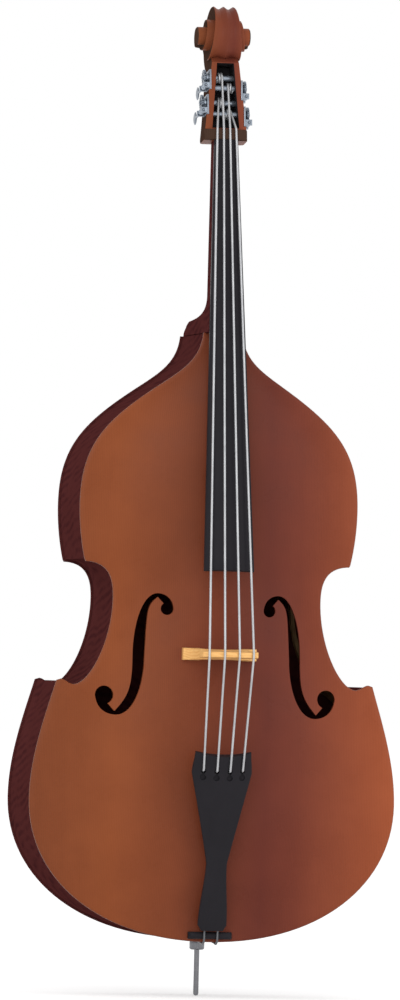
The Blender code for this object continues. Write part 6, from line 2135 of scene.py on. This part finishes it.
@dataclass
class Studio:
    """Floor, soft lights and the camera at the picture's viewing angle."""

    azimuth: float = -11.0
    elevation: float = -1.0
    roll: float = 1.35
    distance: float = 17.0
    target: Triple = (-0.0136, 0.0, 0.8975)
    frame_height: float = 1.813
    sensor: float = 36.0
    clip_end: float = 200.0
    lit: Triple = (0.0, 0.0, 0.9)
    front_place: Triple = (-3.0, -7.5, 3.4)
    front_size: float = 5.0
    front_light: float = 185.0
    side_place: Triple = (4.5, -5.0, 2.4)
    side_size: float = 4.0
    side_light: float = 83.25
    world_light: float = 0.72
    floor_half: float = 60.0
    floor_height: float = -0.0005
    floor_colour: tuple[float, float, float, float] = (0.9, 0.9, 0.9, 1.0)
    floor_roughness: float = 0.9
    floor_glow: float = 0.42

    @staticmethod
    def shown(wiring: Wiring, hidden: Socket, seen: Socket) -> Socket:
        """One shader for rays of the camera, of reflections and through clear pieces, and one for the rest.

        Args:
            wiring: Adds the nodes.
            hidden: Shader for the rest.
            seen: Shader for those rays.

        Returns:
            The chosen shader.
        """
        path = wiring.add("ShaderNodeLightPath").outputs
        clear = wiring.maths("MAXIMUM", path["Is Glossy Ray"], path["Is Transmission Ray"])
        choice = wiring.maths("MAXIMUM", path["Is Camera Ray"], clear)
        return wiring.feed_all(wiring.add("ShaderNodeMixShader"), choice, hidden, seen)

    def floor(self) -> Piece:
        """A pale floor that shows the object's shadow.

        Returns:
            The floor.
        """
        half = self.floor_half
        mesh = bpy.data.meshes.new("floor")
        corners = ((-half, -half), (half, -half), (half, half), (-half, half))
        mesh.from_pydata([(x, y, self.floor_height) for x, y in corners], [], [range(4)])
        made = bpy.data.objects.new("floor", mesh)
        bpy.context.scene.collection.objects.link(made)
        paint = bpy.data.materials.new("floor_paint")
        paint.use_nodes = True
        wiring = Wiring(paint.node_tree)
        nodes = paint.node_tree.nodes
        shader = nodes["Principled BSDF"]
        for label, value in (("Base Color", self.floor_colour), ("Roughness", self.floor_roughness),
                             ("Specular IOR Level", 0.0)):
            wiring.feed(shader.inputs[label], value)
        glow, dark = (wiring.add("ShaderNodeEmission", None, Color=WHITE, Strength=strength).outputs[0]
                      for strength in (self.floor_glow, 0.0))
        lift = self.shown(wiring, dark, glow)
        both = wiring.feed_all(wiring.add("ShaderNodeAddShader"), shader.outputs["BSDF"], lift)
        wiring.feed(nodes["Material Output"].inputs["Surface"], both)
        mesh.materials.append(paint)
        return made

    def world(self) -> None:
        """White to the camera, and an even soft light for the rest."""
        world = bpy.data.worlds.new("studio")
        bpy.context.scene.world = world
        world.use_nodes = True
        wiring = Wiring(world.node_tree)
        even = wiring.feed_all(world.node_tree.nodes["Background"], WHITE, self.world_light)
        white = wiring.feed_all(wiring.add("ShaderNodeBackground"), WHITE, 1.0)
        wiring.feed(world.node_tree.nodes["World Output"].inputs["Surface"], self.shown(wiring, even, white))

    def light(self, name: str, place: Vector, size: float, power: float) -> None:
        """A square soft light that faces the object.

        Args:
            name: Its name.
            place: Its place.
            size: Its side.
            power: Its power in watts.
        """
        data = bpy.data.lights.new(name, "AREA")
        data.size = size
        data.energy = power
        lamp = bpy.data.objects.new(name, data)
        lamp.location = place
        lamp.rotation_euler = (Vector(self.lit) - place).to_track_quat("-Z", "Y").to_euler()
        bpy.context.scene.collection.objects.link(lamp)

    def camera(self) -> None:
        """A long lens that stands level with the body, turned a little to the left."""
        scene = bpy.context.scene
        data = bpy.data.cameras.new("camera")
        turn, lift = math.radians(self.azimuth), math.radians(self.elevation)
        back = Vector((math.sin(turn) * math.cos(lift), -math.cos(turn) * math.cos(lift), math.sin(lift)))
        seen = bpy.data.objects.new("camera", data)
        seen.location = Vector(self.target) + back * self.distance
        aim = back.to_track_quat("Z", "Y").to_matrix() @ Matrix.Rotation(math.radians(self.roll), 3, "Z")
        seen.rotation_euler = aim.to_euler()
        data.sensor_width = self.sensor
        data.lens = self.sensor * self.distance / self.frame_height
        data.clip_end = self.clip_end
        scene.collection.objects.link(seen)
        scene.camera = seen
        scene.view_settings.view_transform = "Standard"

    def build(self) -> None:
        """Builds the studio round the object."""
        floor = self.floor()
        self.world()
        self.light("front_light", Vector(self.front_place), self.front_size, self.front_light)
        self.light("side_light", Vector(self.side_place), self.side_size, self.side_light)
        self.camera()


def main() -> None:
    """Builds every sub-assembly in order, then the studio."""
    logging.basicConfig(level=logging.INFO, format="%(name)s: %(message)s")
    front = Shell().build()
    Neck().build()
    head = Head()
    tuners = [Tuner(letter, side, rise, head) for letter, (side, rise) in MACHINES.items()]
    head.build(tuners)
    for tuner in tuners:
        tuner.build()
    Rig().build(front, tuners)
    Endpin().build()
    Studio().build()


if __name__ == "__main__":
    main()
